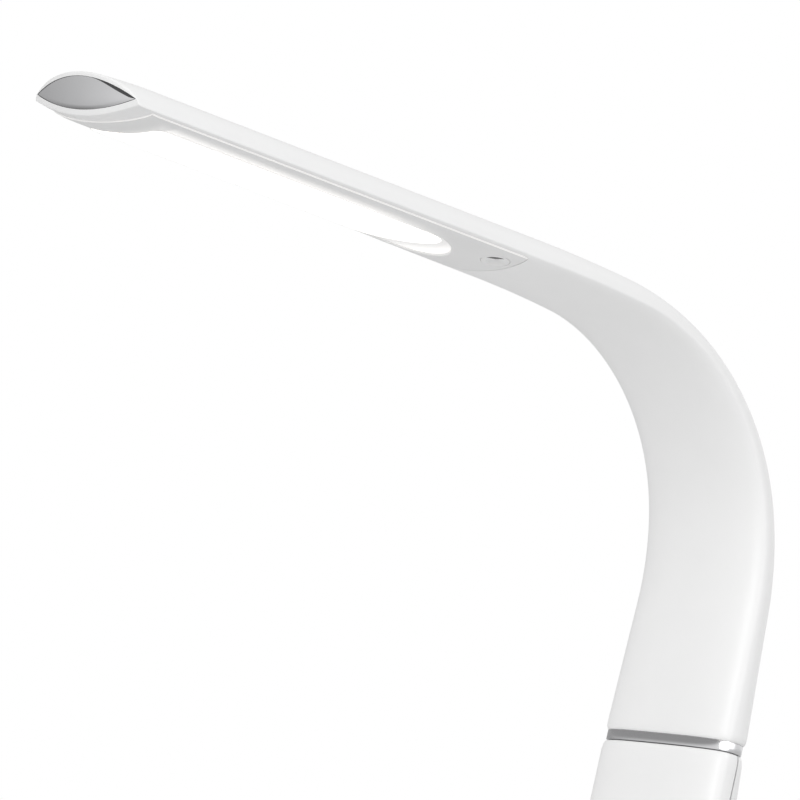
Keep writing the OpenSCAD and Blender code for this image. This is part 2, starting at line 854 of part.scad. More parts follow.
module base_plate() {
    stand_r = 2.5;
    color("gray") {
        difference() {
            base_slab(wall_gap, pad_t, plate_t);
            for (q = screw_spots)
                translate([q[0], q[1], 0]) cylinder(r = base_screw_r + fit_gap, h = floor_z + 1);
        }
        for (dx = [0, board_w - 6], dy = [0, board_l - 6])
            translate([board_x + 3 + dx, board_y + 3 + dy, floor_z - eps])
                cylinder(r = stand_r, h = board_z - floor_z + eps, $fn = 24);
    }
}

module base_screws() {
    head_h = 1.2;
    for (q = screw_spots)
        color("silver") translate([q[0], q[1], 0]) {
            translate([0, 0, pad_t - head_h]) cylinder(r = base_screw_head_r, h = head_h);
            translate([0, 0, pad_t]) cylinder(r = base_screw_r, h = 8);
        }
}

// One cheek, or its cavity where inset is the wall
module cheek_block(side, start, end, inset, low) {
    x = side > 0 ? start : -end;
    r = foot_r - inset;
    translate([x, axle_y, axle_z]) rotate([0, 90, 0]) cylinder(r = r, h = end - start);
    translate([x, axle_y - r, low]) cube([end - start, 2 * r, axle_z - low]);
}

module hinge_cheeks() {
    for (side = [-1, 1])
        color("white") difference() {
            cheek_block(side, cheek_x, cheek_end, 0, floor_z);
            cheek_block(side, cheek_x - 1, cheek_end - base_wall, base_wall, floor_z - 1);
        }
}

module base_cover() {
    outer = cover_loops(0);
    inner = cover_loops(base_wall);
    last = len(inner) - 1;
    color("white") difference() {
        loft(concat([for (i = [last:-1:0]) inner[i]], outer));
        translate([-cheek_end - fit_gap, axle_y - foot_r - fit_gap, base_rim - base_wall])
            cube([2 * (cheek_end + fit_gap), 2 * (foot_r + fit_gap), base_crown]);
        translate([0, base_half_l - inlet_hole_l, inlet_z]) rotate([-90, 0, 0])
            cylinder(r = inlet_nose_r + fit_gap, h = inlet_hole_l + 1);
    }
}

module cover_posts() {
    for (q = screw_spots)
        color("white") translate([q[0], q[1], floor_z]) difference() {
            cylinder(r = post_r, h = post_top - floor_z);
            translate([0, 0, -1]) cylinder(r = base_screw_r + turn_gap, h = 8);
        }
}

module ballast_weight() {
    ballast_inset = 18;
    ballast_back = 26;
    color("darkslategray") difference() {
        intersection() {
            base_slab(ballast_inset, floor_z, ballast_h);
            translate([-base_half_w, -base_half_l, 0])
                cube([2 * base_half_w, base_half_l + ballast_back, base_crown]);
        }
        for (q = screw_spots)
            translate([q[0], q[1], 0]) cylinder(r = post_r + 1, h = base_crown);
    }
}

board_w = 40;
board_l = 15;
board_x = -board_w / 2;
board_y = 28;
board_z = floor_z + 3;

inlet_nose_r = 4.7;
inlet_hole_l = 10;
inlet_box = [11, 12, 8.6];
inlet_face = base_half_l - 0.4;
inlet_bezel = 2.6;
inlet_pin_r = 1;
inlet_socket_r = 2.8;
inlet_socket_l = 9;
inlet_pin_l = 8;

module control_board() {
    color("seagreen") {
        translate([board_x, board_y, board_z]) cube([board_w, board_l, 1.2]);
        translate([board_x + 8, board_y + 4, board_z + 1.2 - eps]) cube([7, 7, 1.2]);
        translate([board_x + 22, board_y + 5, board_z + 1.2 - eps]) cube([8, 5, 1.4]);
    }
}

module dc_inlet() {
    wall_y = inlet_face - inlet_bezel - 2.6;
    color("black") {
        difference() {
            union() {
                translate([-inlet_box[0] / 2, wall_y - inlet_box[1], floor_z])
                    cube([inlet_box[0], inlet_box[1], inlet_box[2]]);
                translate([0, wall_y - 1, inlet_z]) rotate([-90, 0, 0])
                    cylinder(r = inlet_nose_r, h = inlet_face - wall_y + 1);
            }
            translate([0, inlet_face - inlet_bezel, inlet_z]) rotate([-90, 0, 0])
                cylinder(r = inlet_r, h = inlet_bezel + 1);
            translate([0, inlet_face - inlet_bezel - inlet_socket_l, inlet_z]) rotate([-90, 0, 0])
                cylinder(r = inlet_socket_r, h = inlet_socket_l + 1);
        }
        translate([0, inlet_face - inlet_bezel - inlet_socket_l - 0.5, inlet_z]) rotate([-90, 0, 0])
            cylinder(r = inlet_pin_r, h = inlet_pin_l, $fn = 32);
    }
}

antislip_pad();
base_plate();
base_cover();
cover_posts();
ballast_weight();
base_screws();
control_board();
dc_inlet();
hinge_bracket();
hinge_pin();
hinge_washers();
hinge_nut();
hinge_cheeks();
stem_front_shell();
stem_back_cover();
stem_frame();
hinge_barrel();
swivel_socket();
stem_screws();
stem_wire();
swivel_ring();
swivel_spindle();
swivel_clip();
arm_shell();
nose_inlay();
head_panel();
diffuser();
reflector_tray();
led_board();
led_chips();
heat_spreader();
switch_board();
arm_wire();
power_button();
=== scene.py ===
import math

import bmesh
import bpy
from mathutils import Matrix, Vector


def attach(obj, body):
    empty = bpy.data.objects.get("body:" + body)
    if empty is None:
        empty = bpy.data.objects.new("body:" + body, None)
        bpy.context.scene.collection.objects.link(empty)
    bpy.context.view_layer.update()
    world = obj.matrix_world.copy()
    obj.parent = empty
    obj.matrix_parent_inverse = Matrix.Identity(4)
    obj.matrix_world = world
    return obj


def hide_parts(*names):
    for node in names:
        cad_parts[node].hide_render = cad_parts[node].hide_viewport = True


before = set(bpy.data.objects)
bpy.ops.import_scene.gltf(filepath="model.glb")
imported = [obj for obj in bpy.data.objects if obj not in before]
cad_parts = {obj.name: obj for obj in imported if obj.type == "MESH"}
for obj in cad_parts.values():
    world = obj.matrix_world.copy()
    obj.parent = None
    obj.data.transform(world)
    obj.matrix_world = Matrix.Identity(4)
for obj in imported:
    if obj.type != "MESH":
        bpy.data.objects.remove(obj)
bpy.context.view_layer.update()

MM = 0.001
RAD = math.pi / 180
SCENE = bpy.context.scene

# ---- camera --------------------------------------------------------------------------------------
AZIMUTH = 51.5 * RAD
ELEVATION = 3.2 * RAD
DISTANCE, CLIP_END = 5.0, 50
FRAME_PIXELS = 800
PIXELS_PER_MM = 2.8
SENSOR = 36.0
# The ring's middle, and how far right of and below the frame's centre it shows
RING_CENTRE = Vector((0, 0.079665, 0.141763))
RING_RIGHT, RING_DOWN = 0.09645, 0.12193

toward = Vector((math.sin(AZIMUTH) * math.cos(ELEVATION),
                 -math.cos(AZIMUTH) * math.cos(ELEVATION), math.sin(ELEVATION)))
right = Vector((math.cos(AZIMUTH), math.sin(AZIMUTH), 0))
upward = toward.cross(right)

camera = bpy.data.objects.new("camera", bpy.data.cameras.new("camera"))
SCENE.collection.objects.link(camera)
SCENE.camera = camera
camera.data.sensor_width = SENSOR
camera.data.lens = SENSOR * PIXELS_PER_MM * DISTANCE / MM / FRAME_PIXELS
camera.data.clip_end = CLIP_END
camera.matrix_world = Matrix.Translation(
    RING_CENTRE - RING_RIGHT * right + RING_DOWN * upward + DISTANCE * toward
) @ Matrix((right, upward, toward)).transposed().to_4x4()

# ---- sizes in millimetres, as in the CAD source but for LIP_LENGTH and SEAM ----------------------
STEM_LEAN, STEM_LENGTH, NECK = 16.0, 120.0, 49.5
LOW_R, MAIN_R, MAIN_TURN, TOP_R, TOP_TURN = 110.0, 87.5, 67.5, 550.0, 4.5
HEAD_LENGTH = 194.0
RING_W, HEAD_W, TIP_W = 35.0, 30.0, 29.5
RING_BACK, HEAD_BACK, TIP_BACK = 15.5, 10.5, 11.0
RING_FRONT, HEAD_FRONT, TIP_FRONT = 7.0, 7.0, 5.5
RING_SIDE_POWER, HEAD_SIDE_POWER = 3, 2
RING_CROWN_POWER, HEAD_CROWN_POWER = 2.3, 1.67
LIP_LENGTH, LIP_FRONT, LIP_POWER, LIP_EASE = 11.0, 4.9, 1.1, 1.5
NOSE_BOW, BOW_START, NOSE_RAKE = 3.0, 150.0, 19.0
NOSE_DROOP, DROOP_LENGTH = 1.1, 18.0
LEAF_W, LEAF_RISE, LEAF_TOP, LEAF_BOTTOM, LEAF_DEPTH = 28.1, 2.1, 6.4, 5.2, 1.2
PANEL_START, PANEL_END, PANEL_T, PANEL_SHARE = 12.0, 186.5, 2.0, 0.955
WINDOW_START, WINDOW_END, WINDOW_R = 30.0, 176.0, 22.0
WINDOW_MID = WINDOW_START + WINDOW_R
BUTTON_S, BUTTON_X, BUTTON_R = 19.3, 20.0, 5.2
PLUNGER_R, PLUNGER_END = 1.2, 4.6
FLANGE_W, FLANGE_Z, FLANGE_T = 1.0, 2.8, 1.0
RING_H, RING_INSET = 3.7, 1.0
COVER_TOP, COVER_FLARE, STEM_WALL, SEAM = 15.0, 9.5, 2.0, 0.75
FOOT_R, FOOT_W = 14.5, 30.0
BASE_W, BASE_L, BASE_RIM, BASE_CROWN, BASE_WALL = 65.0, 95.0, 12.0, 19.0, 2.2
BASE_POWER = 2.6
AXLE_Y, AXLE_Z = 55.0, 24.0
WASHER_T, BRACKET_T, CHEEK_ROOM = 1.6, 3, 2.6
INLET_Z = 8.4
FIT, MOVE = 0.2, 0.3
FOOT_S = RING_H / 2
STEM_TOP = -RING_H / 2 - MOVE

HEAD_LEAN = -(MAIN_TURN + TOP_TURN)
S_LOW = NECK
S_MAIN = S_LOW + LOW_R * STEM_LEAN * RAD
S_TOP = S_MAIN + MAIN_R * MAIN_TURN * RAD
S_HEAD = S_TOP + TOP_R * TOP_TURN * RAD
S_END = S_HEAD + HEAD_LENGTH
AXLE_N = (COVER_TOP + COVER_FLARE - RING_FRONT) / 2
RING_Y = AXLE_Y - AXLE_N * math.cos(STEM_LEAN * RAD) + STEM_LENGTH * math.sin(STEM_LEAN * RAD)
RING_Z = AXLE_Z + AXLE_N * math.sin(STEM_LEAN * RAD) + STEM_LENGTH * math.cos(STEM_LEAN * RAD)


# ---- centreline ----------------------------------------------------------------------------------
def along(lean):
    return math.sin(lean * RAD), math.cos(lean * RAD)


def bend(p, r, f0, f1):
    return (p[0] + r * (math.cos(f1 * RAD) - math.cos(f0 * RAD)),
            p[1] + r * (math.sin(f0 * RAD) - math.sin(f1 * RAD)))


P_LOW = tuple(S_LOW * v for v in along(STEM_LEAN))
P_MAIN = bend(P_LOW, LOW_R, STEM_LEAN, 0)
P_TOP = bend(P_MAIN, MAIN_R, 0, -MAIN_TURN)
P_HEAD = bend(P_TOP, TOP_R, -MAIN_TURN, HEAD_LEAN)


def lean(s):
    if s < S_LOW:
        return STEM_LEAN
    if s < S_MAIN:
        return STEM_LEAN - (s - S_LOW) / LOW_R / RAD
    if s < S_TOP:
        return -(s - S_MAIN) / MAIN_R / RAD
    if s < S_HEAD:
        return -MAIN_TURN - (s - S_TOP) / TOP_R / RAD
    return HEAD_LEAN


def centre(s):
    if s < S_LOW:
        return tuple(s * v for v in along(STEM_LEAN))
    if s < S_MAIN:
        return bend(P_LOW, LOW_R, STEM_LEAN, lean(s))
    if s < S_TOP:
        return bend(P_MAIN, MAIN_R, 0, lean(s))
    if s < S_HEAD:
        return bend(P_TOP, TOP_R, -MAIN_TURN, lean(s))
    a = along(HEAD_LEAN)
    return P_HEAD[0] + (s - S_HEAD) * a[0], P_HEAD[1] + (s - S_HEAD) * a[1]


def place(s, x, n):
    """World point, in metres, at distance s, x across and n behind or above the centreline."""
    p, f = centre(s), lean(s) * RAD
    return Vector((x, RING_Y + p[0] + n * math.cos(f), RING_Z + p[1] - n * math.sin(f))) * MM


def in_head(x, n, s):
    return place(S_HEAD + s, x, n)


# ---- section -------------------------------------------------------------------------------------
def mix(a, b, t):
    return a + (b - a) * t


def soft(t):
    """Eases t, held between 0 and 1, in and out."""
    t = min(max(t, 0), 1)
    return t * t * (3 - 2 * t)


def signed_power(v, power):
    return math.copysign(abs(v) ** power, v)


def change(s):
    """0 at the ring, 1 from the head's start on."""
    return math.sin(math.pi / 2 * max(s, 0) / S_HEAD) if s < S_HEAD else 1


def sized(s, ring, head, tip):
    reach = min(max(s - S_HEAD, 0) / HEAD_LENGTH, 1)
    return mix(mix(ring, head, change(s)), tip, reach)


def half_w(s):
    return sized(s, RING_W, HEAD_W, TIP_W)


def back_of(s):
    return sized(s, RING_BACK, HEAD_BACK, TIP_BACK)


def front_of(s):
    return sized(s, RING_FRONT, HEAD_FRONT, TIP_FRONT)


def side_power(s):
    return mix(RING_SIDE_POWER, HEAD_SIDE_POWER, change(s))


def crown_power(s):
    return mix(RING_CROWN_POWER, HEAD_CROWN_POWER, change(s))


def crown(s, f):
    return max(1 - abs(f) ** side_power(s), 0) ** (1 / crown_power(s))


def near_end(s, length):
    """0 where the last length of the head starts, 1 at the head's end."""
    return min(max((s - S_END + length) / length, 0), 1)


def lower(s, f):
    """Height of the lower side at the share f of the half width; the lip rises to the nose."""
    lip = LIP_FRONT * max(1 - f * f, 0) ** LIP_POWER
    return -mix(front_of(s) * crown(s, f), lip, near_end(s, LIP_LENGTH) ** LIP_EASE)


def upper(s, f):
    droop = NOSE_DROOP * (1 - f * f) * near_end(s, DROOP_LENGTH) ** 2
    return back_of(s) * crown(s, f) - droop


def underside(s, x):
    """Height of the head's underside, s from the head's start."""
    return lower(S_HEAD + s, x / half_w(S_HEAD + s))


def bow(s, x):
    """How far forward the head's cross line at s is bowed at x."""
    share = soft((s - S_HEAD - BOW_START) / (HEAD_LENGTH - BOW_START))
    return share * NOSE_BOW * (1 - (x / TIP_W) ** 2)


# ---- meshes --------------------------------------------------------------------------------------
def new_object(name, points, faces):
    mesh = bpy.data.meshes.new(name)
    mesh.from_pydata([tuple(p) for p in points], [], faces)
    obj = bpy.data.objects.new(name, mesh)
    SCENE.collection.objects.link(obj)
    return obj


def tidy(obj, sharp=35, merge=2e-6):
    """Joins doubled points, turns the faces outward and shades all but sharp edges smooth."""
    bm = bmesh.new()
    bm.from_mesh(obj.data)
    bmesh.ops.remove_doubles(bm, verts=bm.verts, dist=merge)
    bmesh.ops.dissolve_degenerate(bm, edges=bm.edges, dist=merge)
    bmesh.ops.recalc_face_normals(bm, faces=bm.faces)
    for f in bm.faces:
        f.smooth = True
    for e in bm.edges:
        e.smooth = not e.is_manifold or e.calc_face_angle(0) < sharp * RAD
    bm.to_mesh(obj.data)
    bm.free()
    return obj


def strip_faces(rows, m):
    """Faces between closed rows of m points."""
    return [(j * m + i, j * m + (i + 1) % m, (j + 1) * m + (i + 1) % m, (j + 1) * m + i)
            for j in range(rows - 1) for i in range(m)]


def cap_faces(first, m):
    """Faces that close a loop of m points, paired across it."""
    faces = [tuple(dict.fromkeys((first + i, first + i + 1, first + m - i - 2, first + m - i - 1)))
             for i in range(m // 2)]
    return [face for face in faces if len(face) > 2]


def loft(name, loops, sharp=35):
    """A solid through closed loops of as many points each."""
    m = len(loops[0])
    faces = strip_faces(len(loops), m) + cap_faces(0, m) + cap_faces((len(loops) - 1) * m, m)
    return tidy(new_object(name, [p for loop in loops for p in loop], faces), sharp)


def band(name, loops, sharp=30):
    """A ring through closed loops, of which the last joins the first."""
    m = len(loops[0])
    last = (len(loops) - 1) * m
    faces = strip_faces(len(loops), m)
    faces += [(last + i, last + (i + 1) % m, (i + 1) % m, i) for i in range(m)]
    return tidy(new_object(name, [p for loop in loops for p in loop], faces), sharp)


def span(a, b, count):
    return [mix(a, b, i / count) for i in range(count)]


def quarter(steps):
    """Angles from 0 to a right one."""
    return [math.pi / 2 * k / steps for k in range(steps + 1)]


def circle(r, sides):
    turns = [2 * math.pi * k / sides for k in range(sides)]
    return [(r * math.cos(a), r * math.sin(a)) for a in turns]


def at_world(x, y, z):
    return Vector((x, y, z)) * MM


def block(name, low, high, at=at_world):
    """A box between two corners, which at() turns into world points."""
    (x0, y0, z0), (x1, y1, z1) = low, high
    return loft(name, [[at(x, y, z) for x, y in ((x0, y0), (x1, y0), (x1, y1), (x0, y1))]
                       for z in (z0, z1)])


def modify(obj, kind, **settings):
    """Applies one modifier for good."""
    modifier = obj.modifiers.new("step", kind)
    for key, value in settings.items():
        setattr(modifier, key, value)
    depsgraph = bpy.context.evaluated_depsgraph_get()
    mesh = bpy.data.meshes.new_from_object(obj.evaluated_get(depsgraph))
    obj.modifiers.clear()
    obj.data = mesh
    return obj


def cut(obj, *tools):
    for tool in tools:
        modify(obj, "BOOLEAN", operation="DIFFERENCE", object=tool, solver="EXACT")
        bpy.data.objects.remove(tool)
    return obj


def rounded(obj, width, segments=3, angle=40):
    """Rounds an object's sharp edges."""
    return modify(obj, "BEVEL", width=width * MM, segments=segments, limit_method="ANGLE",
                  angle_limit=angle * RAD, use_clamp_overlap=True, harden_normals=False)


def copy_of(node, name):
    """A new object with a CAD node's mesh, with its doubled points joined."""
    obj = bpy.data.objects.new(name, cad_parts[node].data.copy())
    SCENE.collection.objects.link(obj)
    obj.data.materials.clear()
    return tidy(obj, merge=1e-6)


# ---- materials -----------------------------------------------------------------------------------
class Recipe:
    """A node material that starts from a Principled shader."""

    def __init__(self, name, color, rough, metal=0.0):
        self.mat = bpy.data.materials.new(name)
        self.mat.use_nodes = True
        self.tree = self.mat.node_tree
        self.shader = self.tree.nodes["Principled BSDF"]
        self.color = color
        self.rough = rough
        self.shader.inputs["Base Color"].default_value = (*color, 1)
        self.shader.inputs["Roughness"].default_value = rough
        self.shader.inputs["Metallic"].default_value = metal
        self.coords = self.add("ShaderNodeTexCoord").outputs["Object"]

    def add(self, kind, **settings):
        node = self.tree.nodes.new(kind)
        for key, value in settings.items():
            setattr(node, key, value)
        return node

    def link(self, a, b):
        self.tree.links.new(a, b)

    def noise(self, scale, detail=2.0, stretch=(1, 1, 1)):
        mapping = self.add("ShaderNodeMapping")
        mapping.inputs["Scale"].default_value = stretch
        self.link(self.coords, mapping.inputs["Vector"])
        node = self.add("ShaderNodeTexNoise")
        node.inputs["Scale"].default_value = scale
        node.inputs["Detail"].default_value = detail
        self.link(mapping.outputs["Vector"], node.inputs["Vector"])
        return node.outputs["Fac"]

    def tint(self, scale, spread, stretch=(1, 1, 1)):
        """Colour that wanders a little around the base colour."""
        ramp = self.add("ShaderNodeValToRGB")
        for element, position, share in zip(ramp.color_ramp.elements, (0.3, 0.7),
                                            (1 - spread, 1 + spread)):
            element.position = position
            element.color = (*(min(c * share, 1) for c in self.color), 1)
        self.link(self.noise(scale, 3, stretch), ramp.inputs["Fac"])
        self.link(ramp.outputs["Color"], self.shader.inputs["Base Color"])
        return self

    def polish(self, scale, spread, stretch=(1, 1, 1)):
        """Roughness that wanders around the base roughness."""
        node = self.add("ShaderNodeMapRange")
        node.inputs["To Min"].default_value = max(self.rough - spread, 0)
        node.inputs["To Max"].default_value = self.rough + spread
        self.link(self.noise(scale, 4, stretch), node.inputs["Value"])
        self.link(node.outputs["Result"], self.shader.inputs["Roughness"])
        return self

    def grain(self, scale, strength, depth, stretch=(1, 1, 1)):
        bump = self.add("ShaderNodeBump")
        bump.inputs["Strength"].default_value = strength
        bump.inputs["Distance"].default_value = depth
        self.link(self.noise(scale, 2, stretch), bump.inputs["Height"])
        self.link(bump.outputs["Normal"], self.shader.inputs["Normal"])
        return self

    def set(self, **values):
        for key, value in values.items():
            self.shader.inputs[key.replace("_", " ")].default_value = value
        return self


def grey(level):
    """Linear value of a grey of that level, out of 255."""
    v = level / 255
    return ((v + 0.055) / 1.055) ** 2.4 if v > 0.04045 else v / 12.92


def plastic(name, color, rough, grain_scale=1400, grain_depth=0.00003, strength=0.12):
    return (Recipe(name, color, rough)
            .tint(60, 0.006).polish(90, 0.04).grain(grain_scale, strength, grain_depth))


white = plastic("white_plastic", (grey(244),) * 3, 0.36).mat
white_base = plastic("white_plastic_base", (grey(243),) * 3, 0.38, 1100, 0.00004, 0.18).mat
panel_white = plastic("panel_plastic", (grey(236),) * 3, 0.42, 1600, 0.00003, 0.14)
button_grey = plastic("button_plastic", (grey(238),) * 3, 0.4, 1600, 0.00002, 0.1).mat
bush = plastic("bush_plastic", (grey(220),) * 3, 0.5, 900, 0.00005, 0.2).mat
black = plastic("black_plastic", (0.012, 0.012, 0.013), 0.34, 900, 0.00004, 0.2).mat
jacket = plastic("wire_jacket", (0.02, 0.02, 0.02), 0.5, 600, 0.00006, 0.3).mat
# Near-black plastic for the painted shadow crescent in the button's dish
shadow_crescent_plastic = plastic("shadow_crescent_black", (0.02, 0.02, 0.022), 0.2, 1500, 0.00001, 0.05).mat
rubber = (Recipe("sole_rubber", (0.02, 0.02, 0.02), 0.75)
          .tint(80, 0.2).polish(120, 0.08).grain(500, 0.5, 0.0002)).mat
tray_white = plastic("tray_plastic", (grey(247),) * 3, 0.5, 1500, 0.00002, 0.1)
chrome = (Recipe("chrome_trim", (0.62, 0.62, 0.63), 0.16, 1.0)
          .tint(30, 0.02).polish(60, 0.03).grain(2500, 0.05, 0.000005, (1, 6, 6))).mat
leaf_metal = (Recipe("leaf_metal", (0.65, 0.65, 0.66), 0.22, 1.0)
              .tint(25, 0.03).polish(70, 0.05).grain(3000, 0.12, 0.00001, (0.2, 1, 1)))
# Near-black for the band round the leaf: a dark seal, and painted shadow where it widens
seal_and_shadow_black = (Recipe("seal_and_shadow_black", (0.03, 0.03, 0.032), 0.25, 0.0)
               .tint(40, 0.1).polish(80, 0.05).grain(2000, 0.1, 0.00001)).mat
steel = (Recipe("steel", (0.42, 0.43, 0.45), 0.34, 1.0)
         .tint(90, 0.08).polish(140, 0.1).grain(1800, 0.2, 0.00002, (1, 8, 1))).mat
cast = (Recipe("frame_metal", (0.32, 0.33, 0.34), 0.5, 1.0)
        .tint(120, 0.08).polish(200, 0.1).grain(700, 0.5, 0.0001)).mat
iron = (Recipe("cast_ballast", (0.035, 0.036, 0.038), 0.7, 0.0)
        .tint(70, 0.25).polish(150, 0.1).grain(350, 0.8, 0.0003)).mat
brass = (Recipe("washer_brass", (0.55, 0.38, 0.13), 0.32, 1.0)
         .tint(150, 0.08).polish(200, 0.08).grain(1500, 0.2, 0.00002)).mat
alloy = (Recipe("spreader_metal", (0.6, 0.61, 0.62), 0.4, 1.0)
         .tint(80, 0.05).polish(150, 0.08).grain(1600, 0.3, 0.00003, (8, 1, 1))).mat
board_green = (Recipe("circuit_board", (0.01, 0.09, 0.035), 0.35)
               .tint(700, 0.35, (1, 1, 4)).polish(300, 0.08).grain(900, 0.3, 0.00004)).mat
board_white = (Recipe("light_board", (0.8, 0.8, 0.77), 0.45)
               .tint(600, 0.04).polish(300, 0.06).grain(900, 0.2, 0.00003)).mat
phosphor = (Recipe("light_chip", (0.85, 0.66, 0.2), 0.5)
            .tint(900, 0.1).polish(400, 0.1).grain(1500, 0.3, 0.00003)
            .set(Emission_Color=(1.0, 0.92, 0.75, 1), Emission_Strength=0.6)).mat
lit = (Recipe("diffuser_plastic", (grey(247), grey(244), grey(236)), 0.5)
       .tint(200, 0.01).polish(200, 0.05).grain(1500, 0.1, 0.00002)
       .set(Emission_Color=(1.0, 0.975, 0.93, 1), Emission_Strength=1.3)).mat


def identified(sockets, identifier):
    """The socket of that identifier, because a Mix node's colour sockets share their names."""
    return next(s for s in sockets if s.identifier == identifier)


# Painted reflection: the leaf's colour is darkened along its lower edge, standing in for a dark
# reflection
painted_reflection_mask = leaf_metal.add("ShaderNodeAttribute", attribute_name="painted_reflection_mask")
darker = leaf_metal.add("ShaderNodeMix", data_type="RGBA")
leaf_color = leaf_metal.shader.inputs["Base Color"]
identified(darker.inputs, "B_Color").default_value = (0.06, 0.06, 0.06, 1)
leaf_metal.link(painted_reflection_mask.outputs["Fac"], darker.inputs["Factor"])
leaf_metal.link(leaf_color.links[0].from_socket, identified(darker.inputs, "A_Color"))
leaf_metal.link(identified(darker.outputs, "Result_Color"), leaf_color)

# Painted light: an emission, read from the glow attribute, that paints a glow into the plastic
# around the window
for recipe in (panel_white, tray_white):
    glow = recipe.add("ShaderNodeAttribute", attribute_name="glow")
    recipe.set(Emission_Color=(1.0, 0.965, 0.93, 1))
    recipe.link(glow.outputs["Fac"], recipe.shader.inputs["Emission Strength"])


def finish_piece(obj, material, slot, body, *nodes):
    """Gives a piece its material and body, and the CAD nodes that it replaces; the slot is not
    used.
    """
    obj.data.materials.clear()
    obj.data.materials.append(material)
    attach(obj, body)
    if nodes:
        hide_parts(*nodes)


# ---- arm -----------------------------------------------------------------------------------------
UPPER = [a * 3 * RAD for a in range(61)]
EDGE_STEPS, POCKET_STEPS = 7, 36
# The gap round the panel, and the border's step up from the panel's face
GROOVE = 0.2
STEP, STEP_REACH, STEP_FADE = 0.4, 2.0, 1.2
FOOT_ROUND, FOOT_RISE, FOOT_STEPS = 1.1, 3.0, 6
NECK_ROWS, POCKET_ROWS, POCKET_EDGE = (14, 14, 44, 14, 5), 90, 0.001
# The nose's edge: its radius above and below, and the height over which that changes
NOSE_ROUND, NOSE_CREASE, NOSE_BLEND, NOSE_STEPS = 1.3, 0.35, 0.5, 10
RIM_GAP, RIM_SHARE, RIM_STEPS = 0.25, 0.85, 7
# How much smaller than the recess's outline each of its rows is, and how deep it lies
RECESS = ((-RIM_GAP, 0), (-0.08, 0.06), (0, 0.25), (0, LEAF_DEPTH))


def border_step(s):
    """How far the arm's lower surface beside and before the panel stands above the panel's face."""
    start, end = S_HEAD + PANEL_START, S_HEAD + PANEL_END
    if s < start or s >= S_END:
        return 0
    rear = soft((s - start) / STEP_REACH)
    return STEP * rear * soft((S_END - s) / (S_END - end) * STEP_FADE)


def section(s, inset=0.0, pocket=0.0):
    """Points (x, n) of one closed outline; the panel's pocket is taken out of its lower side."""
    step, power = border_step(s), side_power(s)
    share = PANEL_SHARE + GROOVE / half_w(s)
    w = half_w(s) - inset
    out = []
    for a in UPPER:
        f = signed_power(math.cos(a), 2 / power)
        out.append((f * w, upper(s, f) * (1 - inset / back_of(s))))
    edge = math.acos(share ** (power / 2))
    low_scale = 1 - inset / front_of(s)
    low = []
    for k in range(1, EDGE_STEPS + 1):
        f = math.cos(edge * k / EDGE_STEPS) ** (2 / power)
        low.append((-f * w, lower(s, f) * low_scale + step * k / EDGE_STEPS))
    middle = []
    for k in range(POCKET_STEPS + 1):
        f = share * math.sin((k / POCKET_STEPS - 0.5) * math.pi)
        middle.append((f * w, lower(s, f) * low_scale + (pocket or step)))
    return out + low + middle + [(-x, n) for x, n in reversed(low)]


def arm_row(s, inset=0.0, pocket=0.0):
    return [place(s + bow(s, x), x, n) for x, n in section(s, inset, pocket)]


def nose_s(x, n):
    return S_END + NOSE_BOW * (1 - (x / TIP_W) ** 2) + n * math.tan(NOSE_RAKE * RAD)


def leaf_section(shrink):
    """The leaf's outline with the same count of points as the nose's."""
    out = []
    for x, n in section(S_END):
        f = max(-1, min(1, x / TIP_W))
        height = LEAF_TOP if len(out) < len(UPPER) else -LEAF_BOTTOM
        height -= math.copysign(shrink, height)
        out.append((f * (LEAF_W - shrink), LEAF_RISE + height * (1 - f * f)))
    return out


def leaf_row(shrink, depth):
    return [place(nose_s(x, n) - depth, x, n) for x, n in leaf_section(shrink)]


def nose_rows(start):
    """Rows from the level start of the arm to the leaf's edge, round the nose's rim."""
    edge, rim = section(S_END), leaf_section(-RIM_GAP)
    radii = [min(mix(NOSE_CREASE, NOSE_ROUND, soft(a[1] + NOSE_BLEND)),
                 RIM_SHARE * math.dist(a, b)) for a, b in zip(edge, rim)]
    rows = []
    for k in range(1, NOSE_STEPS + 1):
        t = k / NOSE_STEPS
        s = mix(start, S_END, t)
        rows.append([place(mix(start + bow(start, x), nose_s(x0, n0) - r, t), x, n)
                     for (x, n), (x0, n0), r in zip(section(s), edge, radii)])
    for a in quarter(RIM_STEPS)[1:]:
        row = []
        for (x0, n0), (x1, n1), r in zip(edge, rim, radii):
            t = r * (1 - math.cos(a)) / math.dist((x0, n0), (x1, n1))
            x, n = mix(x0, x1, t), mix(n0, n1, t)
            row.append(place(nose_s(x, n) - r * (1 - math.sin(a)), x, n))
        rows.append(row)
    return rows


def arm_body():
    s0, s1 = S_HEAD + PANEL_START, S_HEAD + PANEL_END
    rows = [arm_row(FOOT_S + FOOT_RISE * (1 - math.cos(a)), FOOT_ROUND * (1 - math.sin(a)))
            for a in quarter(FOOT_STEPS)]
    ends = (FOOT_S + FOOT_RISE + 1, S_LOW, S_MAIN, S_TOP, S_HEAD, s0)
    for start, end, count in zip(ends, ends[1:], NECK_ROWS):
        rows += [arm_row(s) for s in span(start, end, count)]
    rows.append(arm_row(s0))
    rows += [arm_row(s, 0, PANEL_T + FIT)
             for s in span(s0 + POCKET_EDGE, s1, POCKET_ROWS) + [s1 - POCKET_EDGE]]
    rows.append(arm_row(s1))
    rows += nose_rows(s1) + [leaf_row(shrink, depth) for shrink, depth in RECESS]
    return loft("arm_body", rows, sharp=40)


# ---- outlines of window and button ---------------------------------------------------------------
WINDOW_CORNER, CORNER_STEPS, WINDOW_STEPS, WINDOW_PART = 4.0, 8, 40, 2.0
# Rows of the room behind the panel: how far each is grown from the window, and its level
CAVITY = ((2.4, -HEAD_FRONT - 2), (2.4, 2.6), (-4, 2.8), (-4, 5.4))
KEY_ROOM = (-10, -6.6, 0.5), (6.5, 6.6, 7.2)


